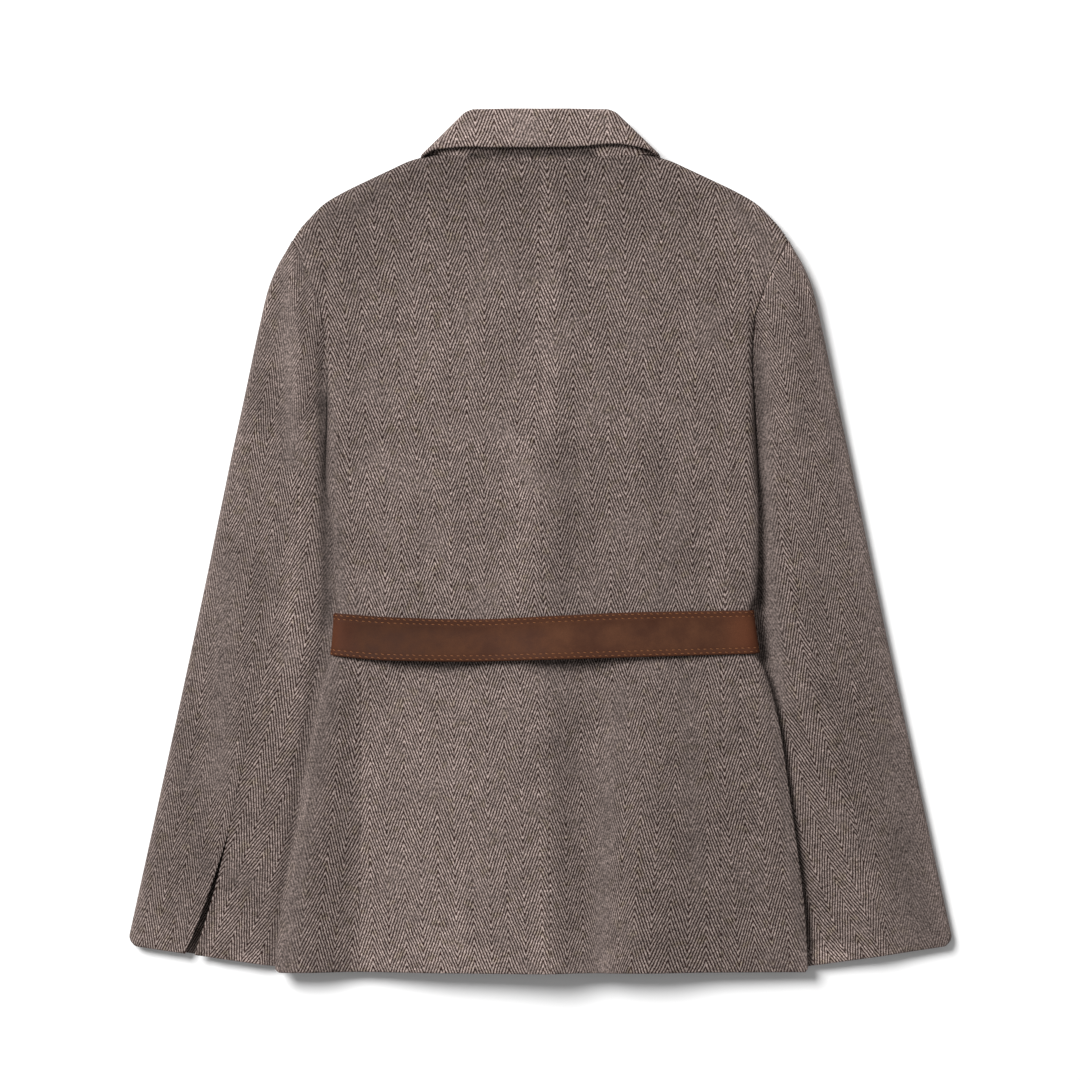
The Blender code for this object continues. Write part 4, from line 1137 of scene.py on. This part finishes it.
def topsleeve(side):
    start = (SLEEVE_HEAD_Y - SLEEVE_TIP_Y) / SLEEVE_LENGTH
    width = sleeve_width(side, np.array(MIDDLE_ROW))
    above = width * ELBOW_SEAM.share(MIDDLE_ROW)
    row, points, _ = sleeve_grid(partial(topsleeve_surface, side), start, above, width - FOREARM_INSET)
    grain_x = unrolled(points, side)
    grain = line_grain(grain_x, points[..., 1], TOPSLEEVE_GRAIN[side].x, TOPSLEEVE_PAIR[side])
    round_cuff(side, row, points)
    return points, side, grain, ((SEAM_EDGE, HEM_EDGE), (SEAM_EDGE, SEAM_EDGE))


def undersleeve(side):
    shares = np.linspace(0.0, 1.0, int(1 / UNDERSLEEVE_TIP**2))
    start = shares[ELBOW_SEAM.share(shares) < 1 - UNDERSLEEVE_TIP][0]
    above = sleeve_width(side, np.array(1.0)) * (1 - ELBOW_SEAM.share(1.0))
    _, points, keep = sleeve_grid(partial(undersleeve_surface, side), start, above, FOREARM_INSET)
    grain_x = side * unrolled(points, -side) - UNDERSLEEVE_SHIFT[side]
    grain = line_grain(grain_x, points[..., 1], UNDERSLEEVE_GRAIN.x, UNDERSLEEVE_PAIR)
    return points, -side, grain, ((SEAM_EDGE, HEM_EDGE), (SEAM_EDGE, SEAM_EDGE)), keep


def nearest(values, wanted):
    """The number of the value that is nearest to the one wanted."""
    return int(np.argmin(np.abs(values - wanted)))


def collar():
    rows = runs(BEND_ENDS, COLLAR_FALL, COLLAR_ROLL * np.pi, COLLAR_STAND, bend_cell=ROLL_CELL)
    turned = COLLAR_TOP_Z * np.pi / 2
    columns = both_ways(runs(BEND_ENDS, COLLAR_SIDE_X, turned, COLLAR_UNDER, fine_start=False))
    row, column = grid(rows, columns)
    points = collar_surface(row, column)
    across = grid_lengths(points, 1)
    across = across - across[:, len(columns) // 2, None]
    turn = np.where(column < 0, nearest(columns, -1), nearest(columns, 1))
    past_turn = across - np.take_along_axis(across, turn, axis=1)
    grain_x = np.take_along_axis(points[..., 0], turn, axis=1) + past_turn
    grain_x = np.where(np.abs(column) > 1, grain_x, points[..., 0])
    top = nearest(rows, 1)
    up = grid_lengths(points, 0)
    grain_y = np.where(row > 1, points[top, :, 1] + (up - up[top]), points[..., 1])
    grain_y = np.where(np.abs(column) > 1, np.take_along_axis(grain_y, turn, axis=1), grain_y)
    grain = ((grain_x - COLLAR_GRAIN_X) / COLLAR_PAIR, grain_y)
    return points, -1, grain, ((HEM_EDGE, SEAM_EDGE), (HEM_EDGE, HEM_EDGE))


def belt_columns(cell):
    flat = SIDE_LINES[RIGHT](BELT_MIDDLE_Y)
    end = BELT_UNDER - SIDE_ROUND
    return both_ways(runs(SIDE_ENDS, flat, SIDE_ROUND * np.pi, end, cell, fine_start=False))


def belt_lift(row, x):
    """How far the belt's lower part stands off the back."""
    lift = np.maximum(BELT_LIFT.lift(x), 0.0) * (np.abs(x) < BELT_LIFT_END)
    return ease(1 - row / BELT_LIFT_ROWS) * lift


def belt():
    rows = spread(0.0, 1.0, BELT_WIDTH, ROUND_CELL / 2, True, True)
    row, column = grid(rows, belt_columns(FINE_CELL))
    points = belt_surface(row, column)
    normal = -grid_normal(points)
    across = grid_lengths(points, 0)
    from_edge = np.minimum(across, across[-1:] - across)
    dent = sum(STITCH_DENT * bell((from_edge - inset) / STITCH_DENT_WIDTH) for inset in STITCH_ROWS)
    points = points - normal * dent[..., None]
    points[..., 2] += belt_lift(row, points[..., 0])
    grain = (grid_lengths(points, 1), across)
    edges = ((HEM_EDGE, HEM_EDGE), (HEM_EDGE, HEM_EDGE))
    return points, -1, grain, edges, None, bell(from_edge / SUEDE_EDGE)


def places_along(line, length, at):
    """What a line's points are at lengths along it."""
    return point(*(np.interp(at, length, values) for values in line.T))


def stitches(thread):
    """All stitches of the belt as one mesh: short arched threads that go into the leather at both ends."""
    insets = np.array(STITCH_ROWS) / BELT_WIDTH
    row, column = grid(np.concatenate([insets, 1 - insets[::-1]]), belt_columns(ROUND_CELL))
    path = belt_surface(row, column)
    path[..., 2] += belt_lift(row, path[..., 0])
    normal = -surface_normal(belt_surface, row, column)
    angle = np.linspace(0.0, 2 * np.pi, STITCH_SIDES, endpoint=False)[:, None]
    share = np.linspace(-1.0, 1.0, STITCH_RINGS)[:, None]
    lift = STITCH_RISE * (1 - share**2) - STITCH_DENT - STITCH_RADIUS / 2
    radius = STITCH_RADIUS * np.sqrt(1 - (share * MOST_STITCH) ** 2)
    places = []
    for number, (line, up_line) in enumerate(zip(path, normal)):
        length = grid_lengths(line, 0)
        first_start = STITCH_PITCH * (1 + number % 2 / 2)
        for start in np.arange(first_start, length[-1] - STITCH_PITCH, STITCH_PITCH):
            at = start + share[:, 0] * STITCH_LENGTH / 2
            middle = places_along(line, length, at)
            up = unit(places_along(up_line, length, at))
            across = np.cross(unit(np.gradient(middle, axis=0)), up)
            slant = STITCH_SLANT * share * (1 + np.sin(len(places) * STITCH_SLANT_TURN))
            middle = middle + up * lift + across * slant
            around = across[:, None] * np.cos(angle) + up[:, None] * np.sin(angle)
            places.append(middle[:, None] + around * radius[:, None])
    ring = np.arange(STITCH_RINGS * STITCH_SIDES).reshape(STITCH_RINGS, STITCH_SIDES)
    after = np.roll(ring, -1, axis=1)
    tube = np.stack([ring[:-1], after[:-1], after[1:], ring[1:]], axis=-1).reshape(-1, 4).tolist()
    tube += [ring[0, ::-1].tolist(), ring[-1].tolist()]
    firsts = range(0, len(places) * ring.size, ring.size)
    faces = [[first + corner for corner in face] for first in firsts for face in tube]
    mesh = add_mesh("belt_stitches", np.concatenate(places).reshape(-1, 3), faces, thread)
    piece = add_object("belt_stitches", mesh)
    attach(piece, "root")
    return piece


class Paint:
    """A material whose nodes are added and linked by short calls; values may be sockets or plain numbers."""

    def __init__(self, name):
        self.material = bpy.data.materials.new(name)
        self.material.use_nodes = True
        self.tree = self.material.node_tree
        self.place = self.node("TexCoord").outputs["Object"]

    def give(self, socket, value):
        if isinstance(value, bpy.types.NodeSocket):
            self.tree.links.new(value, socket)
        elif isinstance(value, tuple) and len(value) < len(socket.default_value):
            socket.default_value = (*value, 1.0)
        else:
            socket.default_value = value

    def node(self, kind, *inputs, **settings):
        """A new node with its settings and its first inputs."""
        node = self.tree.nodes.new("ShaderNode" + kind)
        for name, value in settings.items():
            setattr(node, name, value)
        for socket, value in zip(node.inputs, inputs):
            self.give(socket, value)
        return node

    def named(self, node, **inputs):
        """A node's first output, after the inputs with these names are given."""
        for name, value in inputs.items():
            self.give(node.inputs[name.replace("_", " ")], value)
        return node.outputs[0]

    def math(self, operation, *values):
        return self.node("Math", *values, operation=operation).outputs[0]

    def plus(self, *values):
        return reduce(partial(self.math, "ADD"), values)

    def times(self, *values):
        return reduce(partial(self.math, "MULTIPLY"), values)

    def over(self, value, amount):
        return self.math("DIVIDE", value, amount)

    def blend(self, share, a, b):
        """Colour a where share is 0 and b where it is 1."""
        node = self.node("Mix", data_type="RGBA")
        for socket, value in zip(MIX_INPUTS, (share, a, b)):
            self.give(node.inputs[socket], value)
        return node.outputs[MIX_OUTPUT]

    def dim(self, colour, amount):
        """A colour times an amount."""
        return self.named(self.node("VectorMath", colour, operation="SCALE"), Scale=amount)

    def range(self, value, ends, smooth=True):
        kind = "SMOOTHSTEP" if smooth else "LINEAR"
        return self.node("MapRange", value, *ends, interpolation_type=kind).outputs[0]

    def noise(self, features, place=None):
        """Noise about 0.5, over the object's places or others that are given."""
        scale, detail, roughness = features
        over = self.place if place is None else place
        return self.named(self.node("TexNoise"), Vector=over, Scale=scale, Detail=detail, Roughness=roughness)

    def uneven(self, features, place=None):
        """Noise about 0."""
        return self.math("SUBTRACT", self.noise(features, place), 0.5)

    def stretched(self, x, y):
        return self.node("CombineXYZ", x, y).outputs[0]

    def split(self, place):
        return self.node("SeparateXYZ", place).outputs[:2]

    def layer(self, name):
        return self.node("Attribute", attribute_name=name).outputs["Fac"]

    def bump(self, height, strength, distance):
        return self.named(self.node("Bump"), Height=height, Strength=strength, Distance=distance)

    def finish(self, **inputs):
        self.named(self.tree.nodes["Principled BSDF"], **inputs)
        return self.material


def wool_material():
    """Herringbone of light and dark yarn with brushed fibres over it."""
    p = Paint("wool_herringbone")
    column, length = p.split(p.node("UVMap", uv_map="grain").outputs[0])
    threads = p.times(column, PAIR_THREADS)
    stepped = p.over(p.plus(p.math("FLOOR", threads), 0.5), PAIR_THREADS)
    threaded = p.plus(p.times(column, 1 - THREAD_STEP), p.times(stepped, THREAD_STEP))
    slant = p.times(p.math("PINGPONG", threaded, 0.5), 2 * COLUMN_LINES)
    wander = p.times(p.uneven(WANDER_NOISE), WANDER)
    numbered = p.times(p.math("FLOOR", p.times(column, 2.0)), COLUMN_APART)
    drift = p.uneven(DRIFT_NOISE, p.stretched(numbered, p.over(length, DRIFT_LENGTH)))
    moved = p.plus(wander, p.times(drift, COLUMN_DRIFT))
    turns = p.plus(p.over(length, LINE_RISE), slant, moved)
    wave = p.math("COSINE", p.times(turns, 2 * np.pi))
    yarn = p.uneven(FLOAT_NOISE, p.stretched(threads, p.over(length, FLOAT_LENGTH)))
    fine = p.uneven(FIBRE_NOISE)
    line = p.plus(wave, p.plus(p.times(yarn, YARN_UNEVEN), p.times(fine, FIBRE_MIX)))
    light = p.range(line, LINE_RANGE)
    beads = p.stretched(p.times(column, BEADS_ACROSS), p.over(length, BEAD_LENGTH))
    beads = p.range(p.uneven(BEAD_NOISE, beads), BEAD_RANGE, False)
    bright = p.blend(p.range(p.noise(TINT_NOISE), TINT_RANGE), YARN_LIGHT, YARN_OLIVE)
    colour = p.blend(light, YARN_DARK, bright)
    patches = p.noise(PATCH_NOISE)
    brushed = p.times(p.layer("nap"), p.range(patches, PATCH_RANGE))
    brushed = p.math("MAXIMUM", brushed, p.range(p.noise(WORN_NOISE), WORN_RANGE))
    colour = p.blend(brushed, colour, p.dim(NAP_GREY, p.range(fine, NAP_RANGE, False)))
    mottle = p.range(p.noise(MOTTLE_NOISE), MOTTLE_RANGE)
    flecks = p.range(patches, FLECK_RANGE)
    # The tone layer paints light and shade into the wool's colour
    shade = p.times(mottle, flecks, p.layer("tone"), beads, p.range(fine, FIBRE_RANGE))
    weave = p.times(light, p.math("SUBTRACT", 1.0, brushed))
    height = p.plus(weave, p.times(fine, FIBRE_BUMP))
    return p.finish(
        Base_Color=p.dim(colour, shade),
        Roughness=p.range(fine, WOOL_ROUGHNESS),
        Normal=p.bump(height, WEAVE_BUMP, WEAVE_DEPTH),
        Sheen_Weight=WOOL_SHEEN,
        Sheen_Tint=NAP_GREY,
        **SOFT_FACE,
    )


def suede_material():
    """Brown leather with a short nap, deeper at its edges and warmer toward its ends."""
    p = Paint("suede_belt")
    cloud = p.range(p.noise(CLOUD_NOISE), CLOUD_RANGE)
    nap = p.noise(SUEDE_NOISE)
    x, _ = p.split(p.place)
    colour = p.blend(cloud, SUEDE_DARK, SUEDE_LIGHT)
    colour = p.blend(p.range(p.math("ABSOLUTE", x), BELT_END_RANGE), colour, SUEDE_WARM)
    colour = p.blend(p.times(p.layer("nap"), SUEDE_EDGE_SHARE), colour, SUEDE_RIM)
    shade = p.times(p.range(x, BELT_ALONG_RANGE), p.range(nap, SUEDE_RANGE))
    return p.finish(
        Base_Color=p.dim(colour, shade),
        Roughness=p.range(cloud, SUEDE_ROUGHNESS),
        Normal=p.bump(nap, SUEDE_BUMP, SUEDE_DEPTH),
        Sheen_Weight=SUEDE_SHEEN,
        Sheen_Tint=SUEDE_WARM,
        **SOFT_FACE,
    )


def thread_material():
    """Twisted tan thread."""
    p = Paint("tan_thread")
    wave = p.node("TexWave", bands_direction="DIAGONAL")
    p.named(wave, Vector=p.place, Scale=THREAD_TWIST_SCALE)
    twist = wave.outputs["Fac"]
    shade = p.range(p.noise(THREAD_NOISE), THREAD_RANGE)
    return p.finish(
        Base_Color=p.dim(THREAD_TAN, p.times(shade, p.range(twist, TWIST_RANGE))),
        Roughness=p.range(shade, THREAD_ROUGHNESS),
        Normal=p.bump(twist, THREAD_BUMP, STITCH_RADIUS / 2),
        Specular_IOR_Level=THREAD_SPECULAR,
    )


def floor_material():
    p = Paint("pale_floor")
    colour = p.dim(FLOOR_WHITE, p.range(p.noise(FLOOR_NOISE), FLOOR_RANGE))
    return p.finish(Base_Color=colour, Roughness=FLOOR_ROUGHNESS, Specular_IOR_Level=0.0)


def stage():
    """The floor, the lights and the camera."""
    scene = bpy.context.scene
    half = FLOOR_SIZE / 2
    corners = np.array([(-half, -half, 0.0), (half, -half, 0.0), (half, half, 0.0), (-half, half, 0.0)])
    floor = add_object("floor", add_mesh("floor", corners, [(0, 1, 2, 3)], floor_material()))
    floor.location.z = -FLOOR_GAP
    lamp = bpy.data.lights.new("main_light", "AREA")
    lamp.shape = "DISK"
    lamp.size = MAIN_LIGHT_SIZE
    lamp.energy = MAIN_LIGHT_POWER
    light = add_object("main_light", lamp)
    light.location = MAIN_LIGHT
    light.rotation_euler = (-Vector(MAIN_LIGHT)).to_track_quat("-Z", "Y").to_euler()
    scene.world = bpy.data.worlds.new("studio")
    scene.world.use_nodes = True
    fill = scene.world.node_tree.nodes["Background"].inputs
    fill["Color"].default_value = FILL_WHITE
    fill["Strength"].default_value = FILL_STRENGTH
    lens = bpy.data.cameras.new("camera")
    lens.sensor_width = SENSOR_MM
    lens.lens = SENSOR_MM * (CAMERA_HEIGHT - FOCUS_HEIGHT) / FIELD
    scene.camera = add_object("camera", lens)
    scene.camera.location = (CAMERA_X, 0.0, CAMERA_HEIGHT)
    scene.view_settings.view_transform = "Standard"


def main():
    wool = wool_material()
    suede = suede_material()
    builds = {
        "back": back,
        "side": side_panel,
        "front": front,
        "lapel": lapel,
        "topsleeve": topsleeve,
        "undersleeve": undersleeve,
    }
    for side, word in WORD.items():
        for key, build in builds.items():
            cut = CUTS[key]
            rests_on = [f"{rest}_{word}" for rest in cut.rests_on]
            cloth(f"{key}_{word}", cut, build(side), CLOTH, wool, rests_on)
    cut = CUTS["collar"]
    cloth("collar", cut, collar(), COLLAR_CLOTH, wool, cut.rests_on)
    cut = CUTS["belt"]
    sewing = stitches(thread_material())
    cloth("belt", cut, belt(), LEATHER, suede, cut.rests_on)
    stage()


main()
